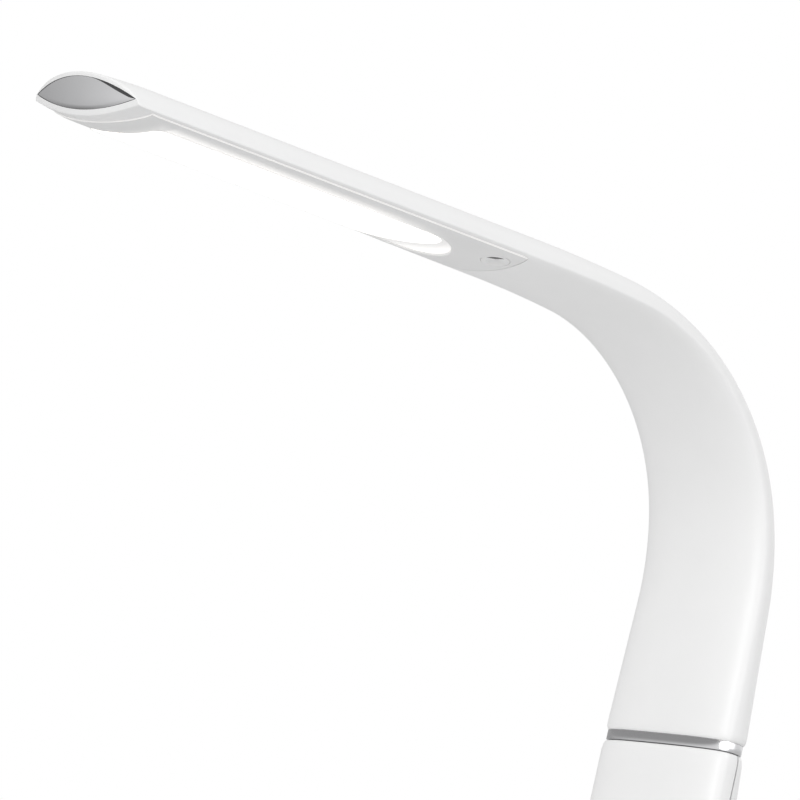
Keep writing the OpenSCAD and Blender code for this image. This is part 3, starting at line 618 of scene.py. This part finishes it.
def window_outline():
    """Outline of the window, (x, s) from the head's start: a half round and two corners."""
    out = [(WINDOW_R * math.cos(a), WINDOW_MID - WINDOW_R * math.sin(a))
           for a in (math.pi * k / WINDOW_STEPS for k in range(WINDOW_STEPS + 1))]
    r, turns = WINDOW_CORNER, quarter(CORNER_STEPS)
    cx, cs = -WINDOW_R + r, WINDOW_END - r
    out += [(cx - r * math.cos(a), cs + r * math.sin(a)) for a in turns]
    out += [(-cx + r * math.sin(a), cs + r * math.cos(a)) for a in turns]
    return out


def resampled(loop, step):
    """The closed loop with long straights divided."""
    out = []
    for i, a in enumerate(loop):
        b = loop[(i + 1) % len(loop)]
        parts = max(1, round(math.dist(a, b) / step))
        out += [(mix(a[0], b[0], k / parts), mix(a[1], b[1], k / parts)) for k in range(parts)]
    return out


def offset_loop(loop, distance):
    """The closed (x, s) loop moved outward by distance."""
    out = []
    for i, (x, y) in enumerate(loop):
        (x0, y0), (x1, y1) = loop[i - 1], loop[(i + 1) % len(loop)]
        dx, dy = x1 - x0, y1 - y0
        length = math.hypot(dx, dy) or 1
        out.append((x + dy / length * distance, y - dx / length * distance))
    return out


def outward(loop):
    area = sum(a[0] * b[1] - b[0] * a[1] for a, b in zip(loop, loop[1:] + loop[:1]))
    return loop if area > 0 else loop[::-1]


WINDOW = outward(resampled(window_outline(), WINDOW_PART))


def level_at(level, x, y):
    """A level that is one number, or a function of the place."""
    return level(x, y) if callable(level) else level


def window_loop(grow, level, slope=0.0):
    """World points of the window's outline grown by grow, at a number or at level(x, s).

    The slope draws the outline's rear end in, towards the nose.
    """
    points = []
    for x, s in offset_loop(WINDOW, grow):
        if s < WINDOW_MID:
            s = WINDOW_MID - (WINDOW_MID - s) * (1 - slope / WINDOW_R)
        points.append(in_head(x, level_at(level, x, s), s))
    return points


def button_frame():
    """The button's centre on the underside, and its axes across, along and into the head."""
    s, d = S_HEAD + BUTTON_S, 0.05
    slope = (underside(BUTTON_S, BUTTON_X + d) - underside(BUTTON_S, BUTTON_X - d)) / (2 * d)
    tilt = math.atan(slope)
    origin = in_head(BUTTON_X, underside(BUTTON_S, BUTTON_X), BUTTON_S)
    head = (place(s + 1, 0, 0) - place(s, 0, 0)).normalized()
    up = (place(s, 0, 1) - place(s, 0, 0)).normalized()
    side = Vector((1, 0, 0))
    inward = up * math.cos(tilt) - side * math.sin(tilt)
    across = side * math.cos(tilt) + up * math.sin(tilt)
    return origin, across, head, inward


BUTTON_FRAME = button_frame()


def at_button(x, y, z):
    origin, across, head, inward = BUTTON_FRAME
    return origin + (across * x + head * y + inward * z) * MM


def lathe(name, profile, sides=72, sharp=35):
    """A turned form about the button's axis, through (radius, depth) points."""
    return loft(name, [[at_button(x, y, level_at(z, x, y)) for x, y in circle(r, sides)]
                       for r, z in profile], sharp=sharp)


def cavity():
    """Room for the light engine behind the panel."""
    return loft("cavity", [window_loop(grow, level) for grow, level in CAVITY])


def key_cavity():
    """Room for the button's flange and its switch."""
    return block("key_cavity", *KEY_ROOM, at_button)


arm = cut(arm_body(), cavity(), key_cavity())
finish_piece(tidy(arm, 40), white, "white_plastic", "arm", "arm_shell")

# ---- underside panel -----------------------------------------------------------------------------
PANEL_EDGE, PANEL_LIFT = 0.15, 0.1
PANEL_COLUMNS, PANEL_ROWS, PANEL_FIRST = 56, 110, 1.5
WINDOW_EDGE, WINDOW_EDGE_ROWS = 0.8, 6
HOLE_GAP = 0.12
# How far a cutting tool reaches past what it cuts: at a rounded edge, and elsewhere
PAST_EDGE, PAST_TOP, PAST_FACE = 0.2, 1.5, 3
# The button's hole: how far its radius grows, at each depth
HOLE_LIP = ((0, 6), (0, 0.25), (0.05, 0.1), (0.15, 0.0), (0.2, -0.1), (0.2, -2))
# Painted light in the panel round the window: its reach, where it sets in and fades, and the
# painted highlight on the rim
GLOW_REACH, GLOW_POWER, GLOW_STRENGTH = 6.0, 1.5, 0.4
GLOW_FROM, GLOW_RISE = 40.0, 40.0
FRONT_GLOW, FRONT_REACH = 0.3, 2
EDGE_GLOW, EDGE_TOUCH = 0.22, 0.03


def panel_row(s, lift):
    """One closed outline of the panel: outer face with bevelled edges, then the inner face."""
    edge = PANEL_SHARE * half_w(S_HEAD + s)
    face = edge - PANEL_EDGE
    xs = [face * math.sin((k / PANEL_COLUMNS - 0.5) * math.pi) for k in range(PANEL_COLUMNS + 1)]
    low, top = underside(s, edge) + max(PANEL_LIFT, lift), underside(s, edge) + PANEL_T
    out = [(x, underside(s, x) + lift) for x in xs] + [(edge, low), (edge, top)]
    out += [(x, underside(s, x) + PANEL_T) for x in reversed(xs)] + [(-edge, top), (-edge, low)]
    return [in_head(x, n, s + bow(S_HEAD + s, x)) for x, n in out]


def light_panel():
    s0, s1 = PANEL_START + GROOVE, PANEL_END - GROOVE
    stops = [(s0, PANEL_LIFT), (s0 + PANEL_EDGE, 0)]
    stops += [(s, 0) for s in span(s0 + PANEL_FIRST, s1 - PANEL_FIRST, PANEL_ROWS)]
    stops += [(s1 - PANEL_FIRST, 0), (s1 - PANEL_EDGE, 0), (s1, PANEL_LIFT)]
    return loft("light_panel", [panel_row(s, lift) for s, lift in stops], sharp=20)


def window_cutter():
    """Cuts the window with a rounded lower edge that follows the panel's face."""
    r, past = WINDOW_EDGE, WINDOW_EDGE + PAST_EDGE
    profile = [(0, PANEL_T + PAST_TOP)]
    profile += [(r * (1 - math.cos(a)), r * (1 - math.sin(a))) for a in quarter(WINDOW_EDGE_ROWS)]
    profile += [(past, -PAST_EDGE), (past, -PAST_FACE)]
    return loft("window_cutter", [window_loop(grow, lambda x, s, up=up: underside(s, x) + up)
                                  for grow, up in profile])


def button_cutter():
    r = BUTTON_R + HOLE_GAP
    return lathe("button_cutter", [(r + grow, depth) for grow, depth in HOLE_LIP])


def window_distance(x, s):
    if s < WINDOW_MID:
        return math.hypot(x, WINDOW_MID - s) - WINDOW_R
    return max(abs(x) - WINDOW_R, s - WINDOW_END)


def head_coordinates(p):
    """(x, n, s) of a world point, s from the head's start."""
    start = in_head(0, 0, 0)
    head = (in_head(0, 0, 1) - start).normalized()
    up = (in_head(0, 1, 0) - start).normalized()
    d = p - start
    return d.x / MM, d.dot(up) / MM, d.dot(head) / MM


def paint(obj, name, value):
    """Gives each point value(x, n, s), as an attribute that a material reads."""
    attribute = obj.data.attributes.new(name, "FLOAT", "POINT")
    for vertex, item in zip(obj.data.vertices, attribute.data):
        item.value = value(*head_coordinates(vertex.co))
    return obj


def panel_glow(x, n, s):
    """Painted light in the panel: a glow round the window on its +X side, and a painted highlight
    along the +X rim and the front rim.
    """
    near = soft(1 - window_distance(x, s) / GLOW_REACH) ** GLOW_POWER
    near *= soft((s - GLOW_FROM) / GLOW_RISE)
    near *= FRONT_GLOW if s > WINDOW_END - FRONT_REACH else 1
    near *= soft(1 + x / WINDOW_R)
    at_edge = x > PANEL_SHARE * half_w(S_HEAD + s) - EDGE_TOUCH
    at_front = s - bow(S_HEAD + s - NOSE_BOW, x) > PANEL_END - GROOVE - EDGE_TOUCH
    return max(GLOW_STRENGTH * near, EDGE_GLOW if at_edge or at_front else 0)


panel = tidy(cut(light_panel(), window_cutter(), button_cutter()), 25)
paint(panel, "glow", panel_glow)
finish_piece(panel, panel_white.mat, "panel_plastic", "arm", "head_panel")

# ---- window: collar, tray and diffuser -----------------------------------------------------------
TRAY_N, TRAY_T, DIFFUSER_N = -0.8, 0.2, -3.9
TRAY_GROW, TRAY_TOP, TRAY_BORE = 1.4, 1.6, -2.5
# The collar's slope is how far its rear wall leans towards the nose at the diffuser
COLLAR_T, COLLAR_SLOPE, COLLAR_STEPS = 0.6, 6.0, 6
COLLAR_RISE, COLLAR_LAP, COLLAR_DROP = 0.9, 0.1, 0.15
# Painted light on the collar: its glow away from the diffuser, at the diffuser, and the height over
# which it changes
COLLAR_GLOW, COLLAR_EDGE_GLOW, COLLAR_FADE = 0.42, 0.12, 1.6
DIFFUSER_EDGE, DIFFUSER_DOME, DIFFUSER_RINGS = 0.5, 0.02, (2, 4, 8, 14)


def collar_level(x, s):
    return min(underside(s, x) + COLLAR_RISE, DIFFUSER_N - COLLAR_DROP)


# Painted light: the collar glows, more towards the panel than at the diffuser
def collar_glow(x, n, s):
    return mix(COLLAR_GLOW, COLLAR_EDGE_GLOW, soft((n - DIFFUSER_N + COLLAR_FADE) / COLLAR_FADE))


def window_collar():
    """The collar between the panel's window and the diffuser, and the tray behind it."""
    low, wall = DIFFUSER_N - COLLAR_LAP, -FIT / 2
    rows = [window_loop(-COLLAR_T, level, COLLAR_SLOPE) for level in (TRAY_N, low)]
    for k in range(1, COLLAR_STEPS + 1):
        t = k / COLLAR_STEPS
        rows.append(window_loop(mix(-COLLAR_T, wall, t),
                                lambda x, s, t=t: mix(low, collar_level(x, s), t),
                                COLLAR_SLOPE * (1 - t)))
    rows += [window_loop(grow, level) for grow, level in (
        (wall, TRAY_N - TRAY_T), (TRAY_GROW, TRAY_N - TRAY_T), (TRAY_GROW, TRAY_TOP),
        (TRAY_BORE, TRAY_TOP), (TRAY_BORE, TRAY_N))]
    return paint(band("window_collar", rows), "glow", collar_glow)


def diffuser_plate():
    """The lit plate, with a bevelled edge and a face that bulges a little."""
    grow = -COLLAR_T - FIT / 2
    steps = [(0, TRAY_N), (0, DIFFUSER_N + DIFFUSER_EDGE), (DIFFUSER_EDGE, DIFFUSER_N)]
    steps += [(k, DIFFUSER_N - DIFFUSER_DOME * min(k, 4)) for k in DIFFUSER_RINGS]
    return loft("diffuser_plate", [window_loop(grow - inset, level, COLLAR_SLOPE)
                                   for inset, level in steps])


finish_piece(window_collar(), tray_white.mat, "tray_plastic", "arm", "reflector_tray")
finish_piece(diffuser_plate(), lit, "diffuser_plastic", "arm", "diffuser")

# ---- button --------------------------------------------------------------------------------------
CAP_DEPTH, CAP_EDGE, CAP_EDGE_ROWS, CAP_RINGS, CAP_MIDDLE = 0.05, 0.3, 4, 18, 0.02
BUTTON_DISH, DISH_R, DISH_SHIFT = 1.7, 3.5, 1.3
# The painted shadow crescent, a dark piece in the dish: its outer radius and width, its direction
# and half its angle in degrees
CRESCENT_R, CRESCENT_T, CRESCENT_TURN, CRESCENT_SPREAD, CRESCENT_STEPS = 4.5, 1.9, 41.0, 44.0, 24
CRESCENT_LEVELS = 0.35, 0.02


def dish_depth(x, y):
    """Depth of the cap's face, with a dish that lies off the middle, away from the painted shadow
    crescent.
    """
    cx, cy = (-DISH_SHIFT * f(CRESCENT_TURN * RAD) for f in (math.cos, math.sin))
    return CAP_DEPTH + BUTTON_DISH * max(1 - (math.dist((x, y), (cx, cy)) / DISH_R) ** 2, 0)


def button_cap():
    r, edge, flange_end = BUTTON_R, CAP_EDGE, FLANGE_Z + FLANGE_T
    profile = [(PLUNGER_R, PLUNGER_END), (PLUNGER_R, flange_end), (r + FLANGE_W, flange_end),
               (r + FLANGE_W, FLANGE_Z), (r, FLANGE_Z), (r, edge + CAP_DEPTH)]
    profile += [(r - edge * (1 - math.cos(a)), CAP_DEPTH + edge * (1 - math.sin(a)))
                for a in quarter(CAP_EDGE_ROWS)[1:]]
    profile += [(max((r - edge) * (1 - k / CAP_RINGS), CAP_MIDDLE), dish_depth)
                for k in range(1, CAP_RINGS + 1)]
    return lathe("button_cap", profile, sharp=30)


def painted_shadow_crescent():
    """A thin dark crescent let into the dish: painted shadow."""
    outline = []
    for k in range(2 * CRESCENT_STEPS):
        outer = k <= CRESCENT_STEPS
        a = (k if outer else 2 * CRESCENT_STEPS - k) / CRESCENT_STEPS * 2 - 1
        radius = CRESCENT_R if outer else CRESCENT_R - CRESCENT_T * (1 - a * a)
        turn = (CRESCENT_TURN + a * CRESCENT_SPREAD) * RAD
        outline.append((radius * math.cos(turn), radius * math.sin(turn)))
    return loft("painted_shadow_crescent", [[at_button(x, y, level) for x, y in outline]
                                for level in CRESCENT_LEVELS], sharp=30)


finish_piece(button_cap(), button_grey, "button_plastic", "button", "power_button")
finish_piece(painted_shadow_crescent(), shadow_crescent_plastic, "black_plastic", "button")

# ---- nose leaf -----------------------------------------------------------------------------------
LEAF_COLUMNS, LEAF_RANKS, LEAF_TIP = 72, 14, 0.9999
LEAF_SHRINK, LEAF_SINK, LEAF_DISH = 0.35, 0.15, 0.35
# Painted reflection on the leaf: how dark its lower edge is painted, and the height over which that
# fades
PAINTED_REFLECTION_DARKNESS, PAINTED_REFLECTION_FADE = 0.7, 1.6
# The dark band round the leaf, a dark seal widened into painted shadow of the recess gap: its width
# all round, its most as a share of the leaf's height, and its swelling
GASKET, SEAL_SHADOW_SHARE, SEAL_SHADOW_GROW = 0.34, 0.8, 0.02
GAP_SHADOW_WIDE, GAP_SHADOW_MIDDLE, GAP_SHADOW_SPAN = 1.1, 20.5, 15.0
SEAL_SHADOW_FLOOR, SEAL_SHADOW_OUTER, SEAL_SHADOW_INNER = LEAF_DEPTH - 0.05, 0.12, 0.1


def leaf_arc(x, height):
    """Height of the plate's edge at x, for that height at its middle, up or down."""
    f = x / (LEAF_W - LEAF_SHRINK)
    return LEAF_RISE + (height - math.copysign(LEAF_SHRINK, height)) * (1 - f * f)


# Painted reflection: darkest along the leaf's lower edge, fading upward and towards its tips
def painted_reflection_tone(x, n, s):
    above = n - leaf_arc(x, -LEAF_BOTTOM)
    return PAINTED_REFLECTION_DARKNESS * soft(1 - above / PAINTED_REFLECTION_FADE) * soft(1 - abs(x) / LEAF_W)


def nose_leaf():
    """The inlay's plate: a face with a small dish, and a painted dark reflection along its lower
    edge.
    """
    points = []
    for i in range(LEAF_COLUMNS + 1):
        x = (LEAF_W - LEAF_SHRINK) * math.sin((i / LEAF_COLUMNS - 0.5) * math.pi) * LEAF_TIP
        low, high = leaf_arc(x, -LEAF_BOTTOM), leaf_arc(x, LEAF_TOP)
        for j in range(LEAF_RANKS + 1):
            v = j / LEAF_RANKS
            n = mix(low, high, v)
            dish = LEAF_DISH * math.sin(math.pi * v) * (1 - (x / LEAF_W) ** 2)
            points.append(place(nose_s(x, n) - LEAF_SINK - dish, x, n))
    m = LEAF_RANKS + 1
    faces = [(i * m + j, (i + 1) * m + j, (i + 1) * m + j + 1, i * m + j + 1)
             for i in range(LEAF_COLUMNS) for j in range(LEAF_RANKS)]
    return paint(tidy(new_object("nose_leaf", points, faces), 60), "painted_reflection_mask", painted_reflection_tone)


def seal_and_shadow_width(x, above):
    """Width of the dark band, a seal that swells along the leaf's upper edge on the +X side into
    painted shadow of the recess gap.
    """
    share = 1 - (x / LEAF_W) ** 2
    width = GASKET * share ** 0.5
    if above:
        width += GAP_SHADOW_WIDE * soft(1 - abs(x - GAP_SHADOW_MIDDLE) / GAP_SHADOW_SPAN)
    return min(width, SEAL_SHADOW_SHARE * share * (LEAF_TOP if above else LEAF_BOTTOM))


def leaf_seal_and_shadow():
    """A closed dark band around the leaf, down to the recess floor: a dark seal, widened into
    painted shadow on the upper +X edge.
    """
    outer = leaf_section(SEAL_SHADOW_GROW)
    inner = [(x * (1 - GASKET / LEAF_W),
              n - math.copysign(seal_and_shadow_width(x, n > LEAF_RISE), n - LEAF_RISE))
             for x, n in leaf_section(0)]
    rows = ((outer, SEAL_SHADOW_FLOOR), (outer, SEAL_SHADOW_OUTER), (inner, SEAL_SHADOW_INNER),
            (inner, SEAL_SHADOW_FLOOR))
    return band("leaf_seal_and_shadow", [[place(nose_s(x, n) - depth, x, n) for x, n in row]
                                for row, depth in rows])


finish_piece(nose_leaf(), leaf_metal.mat, "chrome_trim", "arm", "nose_inlay")
finish_piece(leaf_seal_and_shadow(), seal_and_shadow_black, "black_plastic", "arm")

# ---- chrome ring ---------------------------------------------------------------------------------
RING_SIDES, RING_T, RING_EDGE, RING_BEVEL = 180, 2.5, 0.25, 0.3


def stem_point(x, n, z):
    a, f = along(STEM_LEAN), STEM_LEAN * RAD
    return at_world(x, RING_Y + z * a[0] + n * math.cos(f), RING_Z + z * a[1] - n * math.sin(f))


def ring_section(inset):
    p, q = side_power(0), crown_power(0)
    w, back, front = RING_W - inset, RING_BACK - inset, RING_FRONT - inset
    out = []
    for c, s in circle(1, RING_SIDES):
        out.append((signed_power(c, 2 / p) * w, (back if s > 0 else -front) * abs(s) ** (2 / q)))
    return out


def swivel_band():
    bevel = RING_EDGE * RING_BEVEL
    half = [(RING_T, 0), (RING_EDGE, 0), (bevel, bevel), (0, RING_EDGE)]
    profile = [(RING_INSET + inset, -RING_H / 2 + up) for inset, up in half]
    profile += [(RING_INSET + inset, RING_H / 2 - up) for inset, up in reversed(half)]
    return band("swivel_band", [[stem_point(x, n, z) for x, n in ring_section(inset)]
                                for inset, z in profile])


finish_piece(swivel_band(), chrome, "chrome_trim", "arm", "swivel_ring")

# ---- stem shells ---------------------------------------------------------------------------------
SADDLE_R, SADDLE_PASSES = FOOT_R + 1.0, 4
SHELL_LOW, SHELL_LEVELS, SHELL_STEPS = -STEM_LENGTH + 10, 60, 96
TOP_ROUND, TOP_DROP, TOP_SHARE = 1.2, 4.0, 0.1
SEAM_N = 4.0
# A rear screw's hole: its radii, and how far each row stands above the cover's face
SCREW_HOLE = ((1.45, -STEM_WALL - 1), (1.45, -1.3), (2.8, -1.3), (2.8, 1))
SCREW_Z, SCREW_SIDES = (-32, -88), 40


def cover_depth(z):
    return COVER_TOP + COVER_FLARE * math.sin(math.pi / 2 * min(max(-z / STEM_LENGTH, 0), 1))


def saddle(n):
    """The lowest level of a shell at depth n, where it clears the hinge's barrel."""
    reach = SADDLE_R ** 2 - (n - AXLE_N) ** 2
    low = -STEM_LENGTH + math.sqrt(reach) if reach > 0 else SHELL_LOW
    return max(low, SHELL_LOW)


def stem_outline(z, wall, back):
    """Points (x, n) of one shell at level z, between the seam's two sides."""
    inset = wall
    if wall == 0:
        t = max(0, 1 - (STEM_TOP - z) / TOP_DROP)
        inset = TOP_ROUND * (1 - math.sqrt(max(1 - t * t, 0)))
    w, depth, front = RING_W - inset, cover_depth(z) - inset, RING_FRONT - inset

    def side_point(a):
        f = signed_power(math.cos(a), 2 / RING_SIDE_POWER)
        share = signed_power(math.sin(a), 2 / RING_CROWN_POWER)
        return f * w, share * (depth if share > 0 else front)

    seam = SEAM_N + (SEAM if back else 0)
    turn = math.asin((seam / depth) ** (RING_CROWN_POWER / 2))
    start, end = (turn, math.pi - turn) if back else (turn, -math.pi - turn)
    return [side_point(mix(start, end, k / SHELL_STEPS)) for k in range(SHELL_STEPS + 1)]


def stem_shell(name, back):
    """The stem's back cover, or its front shell."""
    rows = []
    for j in range(SHELL_LEVELS + 1):
        t = j / SHELL_LEVELS
        if t >= 1 - TOP_SHARE:
            turn = (t - (1 - TOP_SHARE)) / TOP_SHARE * math.pi / 2
            t = 1 - TOP_SHARE + TOP_SHARE * math.sin(turn)
        row = []
        for wall in (0, STEM_WALL):
            line = []
            for k in range(SHELL_STEPS + 1):
                z = mix(SHELL_LOW, STEM_TOP, t)
                for _ in range(SADDLE_PASSES):
                    z = mix(saddle(stem_outline(z, wall, back)[k][1]), STEM_TOP, t)
                line.append(stem_point(*stem_outline(z, wall, back)[k], z))
            row += line if wall == 0 else line[::-1]
        rows.append(row)
    return loft(name, rows)


def screw_hole(z):
    """Room for one rear screw and its head."""
    return loft("screw_hole", [[stem_point(x, cover_depth(z) + n, z + up)
                                for x, up in circle(radius, SCREW_SIDES)]
                               for radius, n in SCREW_HOLE])


finish_piece(stem_shell("stem_front", False), white, "white_plastic", "stem", "stem_front_shell")
back_shell = cut(stem_shell("stem_back", True), *(screw_hole(z) for z in SCREW_Z))
finish_piece(tidy(back_shell, 35), white, "white_plastic", "stem", "stem_back_cover")

# ---- hinge and base ------------------------------------------------------------------------------
BASE_SIDES, DOME_REACH, DOME_STEPS = 160, 45, 14
# The cover's lower edge: how far each row is drawn in, and its height
BASE_EDGE = ((0.5, 1), (0.15, 1.15), (0, 1.5), (0, 6))
HOLE_R, HOLE_SIDES = 4.9, 64
CUT_REACH, PAST_WALL = 10, 2


def base_loop(inset, z):
    return [at_world(signed_power(c, 2 / BASE_POWER) * (BASE_W - inset),
                     signed_power(s, 2 / BASE_POWER) * (BASE_L - inset), z)
            for c, s in circle(1, BASE_SIDES)]


def dome(inset):
    """Loops of the cover from its side wall to its crown, drawn in by inset."""
    rise = BASE_CROWN - BASE_RIM
    return [base_loop(inset + DOME_REACH * (1 - math.cos(a)), BASE_RIM - inset + rise * math.sin(a))
            for a in quarter(DOME_STEPS)]


def base_shell():
    rows = dome(BASE_WALL)[::-1] + [base_loop(BASE_WALL, 1)]
    rows += [base_loop(inset, z) for inset, z in BASE_EDGE] + dome(0)
    x1 = FOOT_W + FIT + WASHER_T + FIT + BRACKET_T + CHEEK_ROOM + BASE_WALL + FIT
    y1 = FOOT_R + FIT
    opening = block("opening", (-x1, AXLE_Y - y1, BASE_RIM - BASE_WALL),
                    (x1, AXLE_Y + y1, BASE_CROWN + CUT_REACH))
    hole = [[at_world(x, y, INLET_Z + z) for x, z in circle(HOLE_R, HOLE_SIDES)]
            for y in (BASE_L - CUT_REACH, BASE_L + PAST_WALL)]
    return cut(loft("base_shell", rows, sharp=40), opening, loft("inlet_hole", hole))


barrel = rounded(copy_of("hinge_barrel", "foot_barrel"), 0.8, 4)
finish_piece(tidy(barrel), white, "white_plastic", "stem", "hinge_barrel")
cheeks = rounded(copy_of("hinge_cheeks", "cheek_caps"), 0.9, 4)
finish_piece(tidy(cheeks), white_base, "white_plastic", "base", "hinge_cheeks")
finish_piece(tidy(base_shell(), 35), white_base, "white_plastic", "base", "base_cover")
inlet = rounded(copy_of("dc_inlet", "inlet_body"), 0.25, 3)
finish_piece(tidy(inlet), black, "black_plastic", "base", "dc_inlet")

# ---- CAD nodes that keep their shape -------------------------------------------------------------
KEPT = {
    "antislip_pad": rubber, "base_plate": steel, "cover_posts": white_base, "ballast_weight": iron,
    "base_screws": steel, "control_board": board_green, "hinge_bracket": steel, "hinge_pin": steel,
    "hinge_washers": brass, "hinge_nut": steel, "stem_frame": cast, "swivel_socket": bush,
    "stem_screws": steel, "stem_wire": jacket, "swivel_spindle": cast, "swivel_clip": steel,
    "led_board": board_white, "led_chips": phosphor, "heat_spreader": alloy,
    "switch_board": board_green, "arm_wire": jacket,
}
for node, material in KEPT.items():
    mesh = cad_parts[node].data
    mesh.materials.clear()
    mesh.materials.append(material)


# ---- floor, lights and world ---------------------------------------------------------------------
FLOOR_GREY, FLOOR_R, FLOOR_RINGS, FLOOR_SIDES, FLOOR_DROP = 226, 1.25, 24, 96, 0.0002
FADE_START, FADE_END = 0.45, 1.2


def floor():
    """A disc of paper that fades out into the white round it."""
    sides = FLOOR_SIDES
    points = [Vector((0, 0, 0))]
    for j in range(1, FLOOR_RINGS + 1):
        points += [Vector((x, y, 0)) for x, y in circle(FLOOR_R * j / FLOOR_RINGS, sides)]
    faces = [(0, 1 + k, 1 + (k + 1) % sides) for k in range(sides)]
    for j in range(FLOOR_RINGS - 1):
        a, b = 1 + j * sides, 1 + (j + 1) * sides
        faces += [(a + k, b + k, b + (k + 1) % sides, a + (k + 1) % sides) for k in range(sides)]
    obj = new_object("floor", points, faces)
    obj.location.z = -FLOOR_DROP
    recipe = Recipe("floor_paper", (grey(FLOOR_GREY),) * 3, 0.85)
    recipe.tint(8, 0.004).grain(300, 0.05, 0.0001)
    output = recipe.tree.nodes["Material Output"]
    fade = recipe.add("ShaderNodeMixShader")
    clear = recipe.add("ShaderNodeBsdfTransparent")
    length = recipe.add("ShaderNodeVectorMath", operation="LENGTH")
    ramp = recipe.add("ShaderNodeMapRange", interpolation_type="SMOOTHSTEP")
    ramp.inputs["From Min"].default_value = FADE_START
    ramp.inputs["From Max"].default_value = FADE_END
    recipe.link(recipe.coords, length.inputs[0])
    recipe.link(length.outputs["Value"], ramp.inputs["Value"])
    recipe.link(ramp.outputs["Result"], fade.inputs["Fac"])
    recipe.link(recipe.shader.outputs["BSDF"], fade.inputs[1])
    recipe.link(clear.outputs["BSDF"], fade.inputs[2])
    recipe.link(fade.outputs["Shader"], output.inputs["Surface"])
    obj.data.materials.append(recipe.mat)


floor()


def area_light(name, position, target, size, power):
    data = bpy.data.lights.new(name, "AREA")
    data.shape = "RECTANGLE"
    data.size, data.size_y = size
    data.energy = power
    obj = bpy.data.objects.new(name, data)
    SCENE.collection.objects.link(obj)
    obj.location = position
    obj.rotation_euler = (Vector(target) - Vector(position)).to_track_quat("-Z", "Y").to_euler()


AIM = (0, -0.02, 0.25)
area_light("key_light", (1.7, -0.2, 1.5), AIM, (1.2, 1.2), 8.5)
area_light("front_light", (0.5, -2.0, 1.0), AIM, (1.0, 1.0), 9)

world = bpy.data.worlds.new("studio")
SCENE.world = world
world.use_nodes = True
nodes, links = world.node_tree.nodes, world.node_tree.links
nodes.clear()
# Places in the room: a direction, the cosines where each starts and is full, the values there
DARK_SIDE = (-0.992, 0.087, -0.087), 0.52, 0.95, 1, 0.46
DARK_TOP = (-0.583, -0.272, 0.766), 0.6, 0.74, 1, 0.41
BRIGHT_SIDE = (0.93, -0.2, 0.3), 0.28, 0.48, 0, 0.9
GROUND_TO_SKY = (0, 0, 1), -0.5, 0.5, 0.38, 0.8


def background(strength):
    node = nodes.new("ShaderNodeBackground")
    node.inputs["Color"].default_value = (1, 1, 1, 1)
    node.inputs["Strength"].default_value = strength
    return node


def mixed(share, first, second):
    node = nodes.new("ShaderNodeMixShader")
    links.new(share, node.inputs["Fac"])
    links.new(first, node.inputs[1])
    links.new(second, node.inputs[2])
    return node.outputs["Shader"]


direction = nodes.new("ShaderNodeTexCoord").outputs["Generated"]


def lobe(axis, start, full, low, high, kind="LINEAR"):
    """A value that runs from low to high as a ray turns towards the axis."""
    side = nodes.new("ShaderNodeVectorMath")
    side.operation = "DOT_PRODUCT"
    side.inputs[1].default_value = Vector(axis).normalized()
    links.new(direction, side.inputs[0])
    shade = nodes.new("ShaderNodeMapRange")
    shade.interpolation_type = kind
    ends = {"From Min": start, "From Max": full, "To Min": low, "To Max": high}
    for name, value in ends.items():
        shade.inputs[name].default_value = value
    links.new(side.outputs["Value"], shade.inputs["Value"])
    return shade.outputs["Result"]


# Metal mirrors a white room with two darker places and a bright one, as a studio has
mirrored, glare = background(1), background(1)
darkest = nodes.new("ShaderNodeMath")
darkest.operation = "MINIMUM"
links.new(lobe(*DARK_SIDE), darkest.inputs[0])
links.new(lobe(*DARK_TOP), darkest.inputs[1])
links.new(darkest.outputs[0], mirrored.inputs["Strength"])
links.new(lobe(*BRIGHT_SIDE, "SMOOTHSTEP"), glare.inputs["Strength"])
both = nodes.new("ShaderNodeAddShader")
links.new(mirrored.outputs[0], both.inputs[0])
links.new(glare.outputs[0], both.inputs[1])
# The ground sends back less light than the sky
room = background(1)
links.new(lobe(*GROUND_TO_SKY, "SMOOTHSTEP"), room.inputs["Strength"])
path = nodes.new("ShaderNodeLightPath")
lit_room = mixed(path.outputs["Is Glossy Ray"], room.outputs[0], both.outputs[0])
for ray in ("Is Camera Ray", "Is Transmission Ray"):
    lit_room = mixed(path.outputs[ray], lit_room, background(1).outputs[0])
links.new(lit_room, nodes.new("ShaderNodeOutputWorld").inputs["Surface"])

SCENE.view_settings.view_transform = "Standard"
